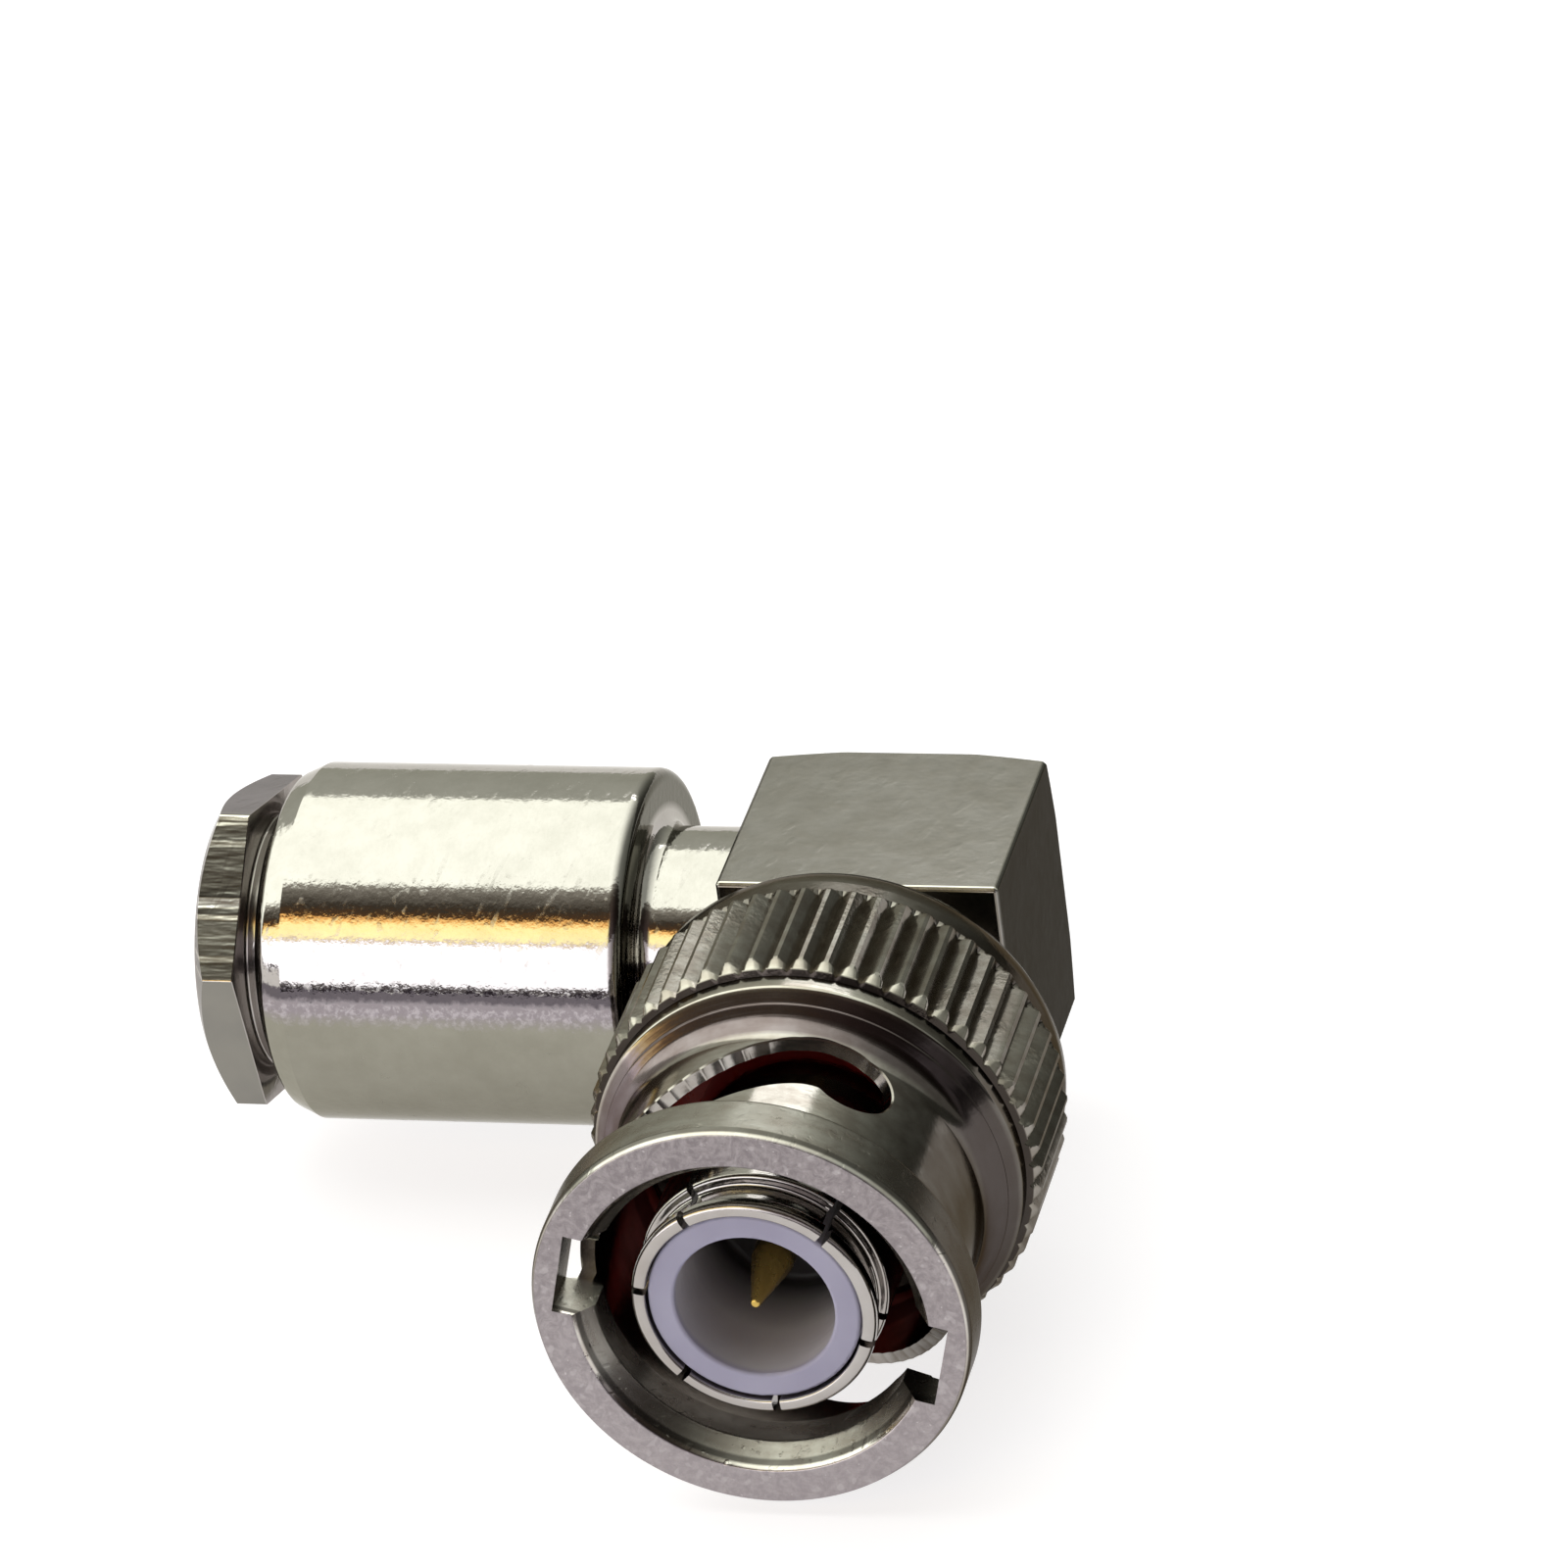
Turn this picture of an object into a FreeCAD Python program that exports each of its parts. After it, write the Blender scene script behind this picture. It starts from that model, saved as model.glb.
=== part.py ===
import FreeCAD, Part
import math
import os

# A right-angle bayonet plug for coaxial cable, with a screwed cable clamp.
# Millimetres. The plug points along -Y and the cable leaves along -X.
# While the pieces are drawn, the two axes cross at (0, 0, 0). Each piece is then lifted, so that
# the frame's origin lies on the underside of the square body, straight below that crossing.

# How far a cutter passes beyond the face it opens
OVERCUT = 1.0

# Elbow body
BODY_SIDE = 9.5
BODY_FRONT = -3.45
BODY_BACK = 5.0
BODY_EDGE = 0.12
BACK_CONE_R = 4.85
BACK_CONE_DROP = 0.5
CHAMBER_R = 3.3
CHAMBER_FRONT = -1.4
SHELL_SEAT_R = 3.05
BARREL_SEAT_R = 3.1

# Screwdriver cap over the soldering chamber
CAP_R = 3.68
CAP_THICK = 1.5
CAP_PLAY = 0.07
CAP_SINK = 0.06
CAP_SEAT_GAP = 0.05
CAP_SLOT_WIDTH = 1.0
CAP_SLOT_DEPTH = 0.75
CAP_RIM_BEVEL = 0.16
CAP_EDGE = 0.3

# Outer contact, Y positions along the plug axis
TIP_Y = -20.73
TIP_R = 3.95
BEAD_LENGTH = 0.5
BEAD_SLOPE = 0.25
WAIST_R = 3.62
WAIST_END = -19.15
CONTACT_R = 4.0
FINGER_BORE_R = 3.48
FINGER_SLOT_WIDTH = 0.26
FINGER_SLOT_END = -14.6
FINGER_SLOT_ANGLES = (47, 120, 171, 225, 275, 342)
RING_FRONT = -9.3
RING_THICK = 0.6
RING_LAND = 0.6
RING_GROOVE_R = 4.1
CONTACT_END = RING_FRONT - RING_LAND
BEARING_R = 4.5
SHELL_FLANGE_R = 4.62
SHELL_FLANGE_THICK = 1.5
BEARING_END = BODY_FRONT - SHELL_FLANGE_THICK
SHELL_BACK = -1.5
SHELL_REAR_BORE_R = 2.35
SHELL_REAR_BORE_FRONT = -6.2

# Insulators
INSULATOR_PLAY = 0.06
INSULATOR_R = FINGER_BORE_R - INSULATOR_PLAY
INSULATOR_SINK = 0.16
INSULATOR_FRONT = TIP_Y + INSULATOR_SINK
INSULATOR_MOUTH_R = 2.58
INSULATOR_FLOOR = -15.2
INSULATOR_GAP = 0.1
REAR_INSULATOR_FRONT = SHELL_REAR_BORE_FRONT + INSULATOR_GAP
REAR_INSULATOR_PROUD = 0.05
REAR_INSULATOR_BACK = SHELL_BACK + REAR_INSULATOR_PROUD

# Centre contact
PIN_R = 0.675
PIN_TIP_R = 0.14
PIN_SINK = 0.33
PIN_TIP_Y = TIP_Y + PIN_SINK
PIN_CONE_LENGTH = 2.4
PIN_BODY_R = 1.0
TAIL_END = 1.25
TAIL_SLOT_WIDTH = 0.95
TAIL_SLOT_FLOOR = -0.45

# Coupling nut
MOUTH_Y = -21.3
FLANGE_R = 7.05
FLANGE_BACK = -19.42
FLANGE_EDGE = 0.14
FLANGE_EDGE_LENGTH = 0.3
FLANGE_ROOT_ROUND = 0.3
LEAD_IN_R = 5.78
LEAD_IN_DEPTH = 0.85
MOUTH_LAND_LENGTH = 1.05
NUT_BORE_R = 5.2
NOTCH_R = 6.2
NOTCH_WIDTH = 2.95
NOTCH_ANGLE = 165.5
NOTCH_RUN_OUT = 0.6
NECK_R = 6.02
NECK_BACK = -13.95
COVE_ROUND = 0.5
LIP_R = 7.0
LIP_STEP = 0.38
LIP_STEP_LENGTH = 0.05
LIP_FRONT = -12.92
KNURL_R = 7.42
KNURL_FRONT = -12.3
KNURL_BEVEL = 0.2
KNURL_BEVEL_DROP = 0.12
KNURL_BACK = -7.75
KNURL_COUNT = 56
KNURL_DEPTH = 0.28
KNURL_GROOVE_WIDTH = 0.44
COLLAR_R = 7.2
COLLAR_ROUND = 1.7
COLLAR_SHOULDER = 0.22
NUT_END_GAP = 0.35
NUT_BACK = BEARING_END - NUT_END_GAP
NUT_LIP_THICK = 1.5
NUT_LIP_FRONT = NUT_BACK - NUT_LIP_THICK
NUT_RUN = 0.06
SLOT_WIDTH = 2.42
SLOT_HOLE_R = 1.3
# A smooth centre line of the curved slot passes through these: degrees round the axis, Y
SLOT_PATH = ((NOTCH_ANGLE, -19.3), (137.0, -18.05), (104.0, -16.55), (79.0, -15.47), (62.0, -15.75))
SLOT_STEPS = 36

# Spring stack between the ring and the nut's rear lip
THRUST_WASHER_THICK = 0.4
THRUST_WASHER_PLAY = 0.07
STACK_GAP = 0.05
WAVE_THICK = 0.2
WAVE_COUNT = 3
WAVE_OUTER_PLAY = 0.15
WAVE_OUTER_R = NUT_BORE_R - WAVE_OUTER_PLAY
WAVE_INNER_PLAY = 0.1
WAVE_INNER_R = BEARING_R + WAVE_INNER_PLAY
RETAINING_RING_PLAY = 0.12
RETAINING_RING_R = NUT_BORE_R - RETAINING_RING_PLAY
RING_SPLIT_WIDTH = 1.3

# Mating gasket
GASKET_PLAY = 0.18
GASKET_R = NUT_BORE_R - GASKET_PLAY
GASKET_LENGTH = 1.3
GASKET_FRONT = CONTACT_END - GASKET_LENGTH
# Behind its mouth the nut's bore is relieved, up to a land over the gasket
NUT_RELIEF_LAND = 0.4
NUT_RELIEF_DEPTH = 0.35
NUT_RELIEF_R = NUT_BORE_R + NUT_RELIEF_DEPTH
NUT_RELIEF_BACK = GASKET_FRONT - NUT_RELIEF_LAND
GASKET_SEAT_DEPTH = 0.2
GASKET_SEAT_R = CONTACT_R - GASKET_SEAT_DEPTH

# Clamp barrel, X positions along the cable axis
BARREL_R = 6.0
BARREL_INNER_END = -7.76
BARREL_END_ROUND = 0.6
BARREL_BEVEL_START = -19.43
BARREL_OUTER_END = -20.4
BARREL_RIM_R = 5.28
RECESS_R = 5.0
RECESS_FLOOR = -19.2
THREAD_BORE_R = 4.58
THREAD_BORE_END = -9.4
NECK_TUBE_R = 4.07
NECK_TUBE_BORE_R = 2.2
SPIGOT_END = -3.6
SPIGOT_PLAY = 0.1
NECK_ROOT_ROUND = 0.45
BUSH_BORE_R = 1.1
BUSH_HEAD_R = 3.2
BUSH_HEAD_THICK = 0.35

# Clamp nut
HEX_ACROSS_FLATS = 10.0
HEX_CORNER_ANGLE = 42.0
HEX_OUTER_END = -22.78
HEX_BACK = -21.15
HEX_CHAMFER_ANGLE = 30.0
NUT_FACE_R = 4.72
GROOVE_R = 4.25
GROOVE_END = -20.72
COLLAR_PLAY = 0.14
COLLAR_SHANK_R = RECESS_R - COLLAR_PLAY
COLLAR_BEVEL = 0.25
COLLAR_SHANK_END = -19.95
THREAD_PLAY = 0.08
THREAD_R = THREAD_BORE_R - THREAD_PLAY
THREAD_HEIGHT = 0.3
THREAD_RELIEF_LENGTH = 0.6
CABLE_BORE_R = 2.9
CABLE_MOUTH_BEVEL = 0.32

# Clamp stack: washer, seal and braid cone
STACK_PLAY = 0.08
STACK_R = THREAD_BORE_R - STACK_PLAY
WASHER_GAP = 0.05
CLAMP_WASHER_THICK = 0.5
SEAL_LENGTH = 2.1
SEAL_BORE_R = 2.6
SEAL_V_DEPTH = 0.55
SEAL_MIDDLE_R = (SEAL_BORE_R + STACK_R) / 2
CONE_LENGTH = 1.95
CONE_BORE_R = 2.55
CONE_NOSE_R = 3.1
CONE_NOSE_LENGTH = 0.9
CONE_NOSE_RISE = 0.4
CONE_CREST = 0.15
CONE_V_GAP = 0.1
FACE_GAP = 0.04
# The stack is set out from the insulator's head, and the clamp nut's shank reaches down to it
CONE_GAP = 0.72
STACK_LENGTH = CLAMP_WASHER_THICK + FACE_GAP + SEAL_LENGTH + FACE_GAP + CONE_LENGTH
CLAMP_WASHER_OUT = THREAD_BORE_END - BUSH_HEAD_THICK - CONE_GAP - STACK_LENGTH
SHANK_END = CLAMP_WASHER_OUT - WASHER_GAP

UP = FreeCAD.Vector(0, 0, 1)
ORIGIN = FreeCAD.Vector(0, 0, 0)


def corner_arc(before, corner, after, radius):
    """Start, middle and end of the arc that rounds one corner of a flat outline."""
    to_before = (before - corner).normalize()
    to_after = (after - corner).normalize()
    half = to_before.getAngle(to_after) / 2
    reach = radius / math.tan(half)
    start = corner + to_before * reach
    end = corner + to_after * reach
    inward = (to_before + to_after).normalize()
    middle = corner + inward * (radius / math.sin(half) - radius)
    return start, middle, end


def outline(points):
    """Closed face in the XY plane. A third number rounds that corner."""
    corners = [FreeCAD.Vector(p[0], p[1], 0) for p in points]
    rounds = [p[2] if len(p) > 2 else 0 for p in points]
    pieces = []
    for i, corner in enumerate(corners):
        if rounds[i]:
            pieces.append(corner_arc(corners[i - 1], corner, corners[(i + 1) % len(corners)], rounds[i]))
        else:
            pieces.append((corner,))
    edges = []
    for i, piece in enumerate(pieces):
        if len(piece) == 3:
            edges.append(Part.Arc(*piece).toShape())
        start = piece[-1]
        end = pieces[(i + 1) % len(pieces)][0]
        if (end - start).Length > 1e-6:
            edges.append(Part.makeLine(start, end))
    return Part.Face(Part.Wire(edges))


def turned_on_y(points):
    """Solid of revolution about the plug axis, from (radius, y) points."""
    return outline(points).revolve(ORIGIN, FreeCAD.Vector(0, 1, 0), 360)


def turned_on_x(points):
    """Solid of revolution about the cable axis, from (x, radius) points."""
    return outline(points).revolve(ORIGIN, FreeCAD.Vector(1, 0, 0), 360)


def rod_y(radius, start, end):
    return Part.makeCylinder(radius, end - start, FreeCAD.Vector(0, start, 0), FreeCAD.Vector(0, 1, 0))


def rod_x(radius, start, end):
    return Part.makeCylinder(radius, end - start, FreeCAD.Vector(start, 0, 0), FreeCAD.Vector(1, 0, 0))


def washer_on_y(outer, inner, start, end):
    return rod_y(outer, start, end).cut(rod_y(inner, start - OVERCUT, end + OVERCUT))


def box(low, high):
    size = [high[i] - low[i] for i in range(3)]
    return Part.makeBox(*size, FreeCAD.Vector(*low))


def about_y(shape, degrees):
    """Turned copy, so that what lies on +X goes to the given angle from +X towards +Z."""
    copy = shape.copy()
    copy.rotate(ORIGIN, FreeCAD.Vector(0, -1, 0), degrees)
    return copy


def body_block():
    half = BODY_SIDE / 2
    block = box((-half, BODY_FRONT, -half), (half, BODY_BACK, half))
    block = block.makeChamfer(BODY_EDGE, block.Edges)
    corner_r = half * math.sqrt(2) + 0.2
    slope = BACK_CONE_DROP / (half * math.sqrt(2) - BACK_CONE_R)
    envelope = turned_on_y([
        (0, BODY_FRONT - OVERCUT), (corner_r, BODY_FRONT - OVERCUT),
        (corner_r, BODY_BACK - (corner_r - BACK_CONE_R) * slope),
        (BACK_CONE_R, BODY_BACK), (0, BODY_BACK),
    ])
    block = block.common(envelope)
    cap_bore = CAP_R + CAP_PLAY
    cap_floor = BODY_BACK - CAP_SINK - CAP_THICK - CAP_SEAT_GAP
    cut = turned_on_y([
        (0, CHAMBER_FRONT), (CHAMBER_R, CHAMBER_FRONT), (CHAMBER_R, cap_floor), (cap_bore, cap_floor),
        (cap_bore, BODY_BACK - CAP_RIM_BEVEL), (cap_bore + CAP_RIM_BEVEL, BODY_BACK),
        (cap_bore + CAP_RIM_BEVEL, BODY_BACK + OVERCUT), (0, BODY_BACK + OVERCUT),
    ])
    block = block.cut(cut)
    block = block.cut(rod_y(SHELL_SEAT_R, BODY_FRONT - OVERCUT, CHAMBER_FRONT + OVERCUT))
    block = block.cut(rod_x(BARREL_SEAT_R, -half - OVERCUT, SPIGOT_END + SPIGOT_PLAY))
    return block.cut(rod_x(NECK_TUBE_BORE_R, -half - OVERCUT, 0))


def access_cap():
    top = BODY_BACK - CAP_SINK
    cap = turned_on_y([
        (0, top - CAP_THICK), (CAP_R - CAP_EDGE, top - CAP_THICK), (CAP_R, top - CAP_THICK + CAP_EDGE),
        (CAP_R, top, 0.1), (0, top),
    ])
    half = CAP_SLOT_WIDTH / 2
    reach = CAP_R + OVERCUT
    return cap.cut(box((-reach, top - CAP_SLOT_DEPTH, -half), (reach, top + OVERCUT, half)))


def plug_shell():
    ring_back = RING_FRONT + RING_THICK
    shell = turned_on_y([
        (FINGER_BORE_R, TIP_Y, 0.1), (TIP_R, TIP_Y, 0.22), (TIP_R, TIP_Y + BEAD_LENGTH, 0.12),
        (WAIST_R, TIP_Y + BEAD_LENGTH + BEAD_SLOPE), (WAIST_R, WAIST_END, 0.15),
        (CONTACT_R, WAIST_END, 0.12),
        (CONTACT_R, GASKET_FRONT), (GASKET_SEAT_R, GASKET_FRONT), (GASKET_SEAT_R, CONTACT_END),
        (BEARING_R, CONTACT_END, 0.08), (BEARING_R, RING_FRONT),
        (RING_GROOVE_R, RING_FRONT), (RING_GROOVE_R, ring_back), (BEARING_R, ring_back),
        (BEARING_R, BEARING_END), (SHELL_FLANGE_R, BEARING_END, 0.05), (SHELL_FLANGE_R, BODY_FRONT),
        (SHELL_SEAT_R, BODY_FRONT), (SHELL_SEAT_R, SHELL_BACK), (SHELL_REAR_BORE_R, SHELL_BACK),
        (SHELL_REAR_BORE_R, SHELL_REAR_BORE_FRONT), (FINGER_BORE_R, SHELL_REAR_BORE_FRONT),
    ])
    half = FINGER_SLOT_WIDTH / 2
    saw = box((FINGER_BORE_R / 2, TIP_Y - OVERCUT, -half), (CONTACT_R + OVERCUT, FINGER_SLOT_END, half))
    cuts = [about_y(saw, angle) for angle in FINGER_SLOT_ANGLES]
    return shell.cut(Part.makeCompound(cuts))


def front_insulator():
    back = SHELL_REAR_BORE_FRONT
    return turned_on_y([
        (INSULATOR_MOUTH_R, INSULATOR_FRONT, 0.12), (INSULATOR_R, INSULATOR_FRONT, 0.12),
        (INSULATOR_R, back), (PIN_BODY_R, back), (PIN_BODY_R, INSULATOR_FLOOR),
        (INSULATOR_MOUTH_R, INSULATOR_FLOOR, 0.2),
    ])


def rear_insulator():
    return turned_on_y([
        (PIN_BODY_R, REAR_INSULATOR_FRONT), (SHELL_REAR_BORE_R, REAR_INSULATOR_FRONT),
        (SHELL_REAR_BORE_R, REAR_INSULATOR_BACK, 0.15), (PIN_BODY_R, REAR_INSULATOR_BACK),
    ])


def centre_contact():
    contact = turned_on_y([
        (0, PIN_TIP_Y), (PIN_TIP_R, PIN_TIP_Y, 0.08), (PIN_R, PIN_TIP_Y + PIN_CONE_LENGTH, 0.6),
        (PIN_R, INSULATOR_FLOOR), (PIN_BODY_R, INSULATOR_FLOOR), (PIN_BODY_R, TAIL_END, 0.15),
        (0, TAIL_END),
    ])
    half = TAIL_SLOT_WIDTH / 2
    reach = PIN_BODY_R + OVERCUT
    slot = box((-reach, TAIL_SLOT_FLOOR + half, -half), (reach, TAIL_END + OVERCUT, half))
    slot = slot.fuse(rod_x(half, -reach, reach).translated(FreeCAD.Vector(0, TAIL_SLOT_FLOOR + half, 0)))
    return contact.cut(slot)


def nut_blank():
    """The coupling nut as it leaves the lathe, before notches, slots and knurl."""
    lip_bore = BEARING_R + NUT_RUN
    ridge_front = KNURL_FRONT + KNURL_R - KNURL_BEVEL_DROP - LIP_R
    mouth_land = MOUTH_Y + LEAD_IN_DEPTH + MOUTH_LAND_LENGTH
    return turned_on_y([
        (LEAD_IN_R, MOUTH_Y, 0.06), (FLANGE_R - FLANGE_EDGE, MOUTH_Y),
        (FLANGE_R, MOUTH_Y + FLANGE_EDGE_LENGTH), (FLANGE_R, FLANGE_BACK, 0.12),
        (NECK_R, FLANGE_BACK, FLANGE_ROOT_ROUND), (NECK_R, NECK_BACK, COVE_ROUND),
        (LIP_R - LIP_STEP, LIP_FRONT - LIP_STEP - LIP_STEP_LENGTH),
        (LIP_R - LIP_STEP, LIP_FRONT - LIP_STEP), (LIP_R, LIP_FRONT, 0.08), (LIP_R, KNURL_FRONT),
        (KNURL_R - KNURL_BEVEL_DROP, ridge_front), (KNURL_R, ridge_front + KNURL_BEVEL), (KNURL_R, KNURL_BACK),
        (COLLAR_R, KNURL_BACK + COLLAR_SHOULDER), (COLLAR_R, NUT_BACK, COLLAR_ROUND),
        (lip_bore, NUT_BACK, 0.12),
        (lip_bore, NUT_LIP_FRONT), (NUT_BORE_R, NUT_LIP_FRONT), (NUT_BORE_R, NUT_RELIEF_BACK),
        (NUT_RELIEF_R, NUT_RELIEF_BACK - NUT_RELIEF_DEPTH), (NUT_RELIEF_R, mouth_land + NUT_RELIEF_DEPTH),
        (NUT_BORE_R, mouth_land), (NUT_BORE_R, MOUTH_Y + LEAD_IN_DEPTH),
    ])


def slot_edge_points(radius):
    """Closed ring of points round the curved slot, laid on a cylinder of the given radius."""
    flat = [FreeCAD.Vector(math.radians(angle) * NECK_R, y, 0) for angle, y in SLOT_PATH]
    centre_line = Part.BSplineCurve()
    centre_line.interpolate(flat)
    first = centre_line.FirstParameter
    last = centre_line.LastParameter
    sides = ([], [])
    for i in range(SLOT_STEPS + 1):
        at = first + (last - first) * i / SLOT_STEPS
        across = centre_line.tangent(at)[0].cross(UP) * (SLOT_WIDTH / 2)
        sides[0].append(centre_line.value(at) - across)
        sides[1].append(centre_line.value(at) + across)
    points = []
    for p in sides[0] + sides[1][::-1]:
        angle = p.x / NECK_R
        points.append(FreeCAD.Vector(radius * math.cos(angle), p.y, radius * math.sin(angle)))
    return points


def slot_cutter():
    """Ring sector between two radii, bounded by the slot's edge."""
    inner = slot_edge_points(NUT_BORE_R - OVERCUT)
    outer = slot_edge_points(NOTCH_R + OVERCUT)
    count = len(inner)
    half = count // 2
    faces = []
    for i in range(count):
        j = (i + 1) % count
        faces += triangle_pair(inner[i], inner[j], outer[j], outer[i])
    for ring in (inner, outer):
        for i in range(half - 1):
            faces += triangle_pair(ring[i], ring[i + 1], ring[count - 2 - i], ring[count - 1 - i])
    walls = Part.Solid(Part.Shell(faces))
    if walls.Volume < 0:
        walls.reverse()
    return walls


def triangle_pair(a, b, c, d):
    first = Part.Face(Part.makePolygon([a, b, c, a]))
    second = Part.Face(Part.makePolygon([a, c, d, a]))
    return [first, second]


def radial_drill(radius, angle, y):
    start = FreeCAD.Vector(NUT_BORE_R - OVERCUT, y, 0)
    length = NOTCH_R - NUT_BORE_R + 2 * OVERCUT
    return about_y(Part.makeCylinder(radius, length, start, FreeCAD.Vector(1, 0, 0)), angle)


def knurl_grooves():
    reach = KNURL_R + OVERCUT
    root = KNURL_R - KNURL_DEPTH
    spread = KNURL_GROOVE_WIDTH / 2 * (reach - root) / KNURL_DEPTH
    start = KNURL_FRONT - KNURL_BEVEL
    corners = [(root, start, 0), (reach, start, -spread), (reach, start, spread), (root, start, 0)]
    wedge = Part.Face(Part.makePolygon([FreeCAD.Vector(*c) for c in corners]))
    wedge = wedge.extrude(FreeCAD.Vector(0, KNURL_BACK - start, 0))
    return Part.makeCompound([about_y(wedge, 360 * i / KNURL_COUNT) for i in range(KNURL_COUNT)])


def coupling_nut():
    nut = nut_blank()
    half = NOTCH_WIDTH / 2
    notch_low = (NUT_BORE_R - OVERCUT, MOUTH_Y - OVERCUT, -half)
    notch = box(notch_low, (NOTCH_R, FLANGE_BACK + NOTCH_RUN_OUT, half))
    slot = slot_cutter()
    end_angle, end_y = SLOT_PATH[-1]
    hole = radial_drill(SLOT_HOLE_R, end_angle, end_y)
    for turn in (0, 180):
        nut = nut.cut(about_y(notch, NOTCH_ANGLE + turn))
        nut = nut.cut(about_y(slot, turn))
        nut = nut.cut(about_y(hole, turn))
    return nut.cut(knurl_grooves())


def thrust_washer():
    front = NUT_LIP_FRONT - STACK_GAP - THRUST_WASHER_THICK
    inner = BEARING_R + THRUST_WASHER_PLAY
    outer = NUT_BORE_R - THRUST_WASHER_PLAY
    return washer_on_y(outer, inner, front, front + THRUST_WASHER_THICK)


def wave_washer(front, back):
    """Flat spring washer with a wave that fills the space from front to back."""
    swing = (back - front - WAVE_THICK) / 2
    middle = (front + back) / 2
    sections = []
    steps = 8 * WAVE_COUNT
    for i in range(steps):
        angle = 2 * math.pi * i / steps
        y = middle + swing * math.cos(WAVE_COUNT * angle) - WAVE_THICK / 2
        inner_then_outer = ((WAVE_INNER_R, 0), (WAVE_OUTER_R, 0))
        outer_then_inner = ((WAVE_OUTER_R, WAVE_THICK), (WAVE_INNER_R, WAVE_THICK))
        ring = []
        for radius, lift in inner_then_outer + outer_then_inner:
            ring.append(FreeCAD.Vector(radius * math.cos(angle), y + lift, radius * math.sin(angle)))
        sections.append(ring)
    faces = []
    for i in range(steps):
        a = sections[i]
        b = sections[(i + 1) % steps]
        for k in range(4):
            faces += triangle_pair(a[k], a[(k + 1) % 4], b[(k + 1) % 4], b[k])
    washer = Part.Solid(Part.Shell(faces))
    if washer.Volume < 0:
        washer.reverse()
    return washer


def wave_space():
    """Front, middle and back of the room that the two wave washers share."""
    front = RING_FRONT + RING_THICK + STACK_GAP
    back = NUT_LIP_FRONT - STACK_GAP - THRUST_WASHER_THICK - STACK_GAP
    return front, (front + back) / 2, back


def wave_washer_front():
    front, middle, back = wave_space()
    return wave_washer(front, middle - STACK_GAP / 2)


def wave_washer_rear():
    front, middle, back = wave_space()
    return wave_washer(middle + STACK_GAP / 2, back)


def retaining_ring():
    back = RING_FRONT + RING_THICK
    ring = washer_on_y(RETAINING_RING_R, RING_GROOVE_R, RING_FRONT, back)
    half = RING_SPLIT_WIDTH / 2
    low = (-half, RING_FRONT - OVERCUT, -RETAINING_RING_R - OVERCUT)
    return ring.cut(box(low, (half, back + OVERCUT, 0)))


def mating_gasket():
    return turned_on_y([
        (GASKET_SEAT_R, GASKET_FRONT), (GASKET_R, GASKET_FRONT, 0.2), (GASKET_R, CONTACT_END, 0.1),
        (GASKET_SEAT_R, CONTACT_END),
    ])


def clamp_barrel():
    side = -BODY_SIDE / 2
    return turned_on_x([
        (BARREL_OUTER_END, RECESS_R), (BARREL_OUTER_END, BARREL_RIM_R, 0.06),
        (BARREL_BEVEL_START, BARREL_R), (BARREL_INNER_END, BARREL_R, BARREL_END_ROUND),
        (BARREL_INNER_END, NECK_TUBE_R, NECK_ROOT_ROUND), (side, NECK_TUBE_R), (side, BARREL_SEAT_R),
        (SPIGOT_END, BARREL_SEAT_R),
        (SPIGOT_END, NECK_TUBE_BORE_R), (THREAD_BORE_END, NECK_TUBE_BORE_R),
        (THREAD_BORE_END, THREAD_BORE_R), (RECESS_FLOOR, THREAD_BORE_R), (RECESS_FLOOR, RECESS_R),
    ])


def barrel_insulator():
    head = THREAD_BORE_END - BUSH_HEAD_THICK
    return turned_on_x([
        (head, BUSH_BORE_R), (head, BUSH_HEAD_R, 0.1), (THREAD_BORE_END, BUSH_HEAD_R),
        (THREAD_BORE_END, NECK_TUBE_BORE_R), (SPIGOT_END, NECK_TUBE_BORE_R), (SPIGOT_END, BUSH_BORE_R),
    ])


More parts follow.
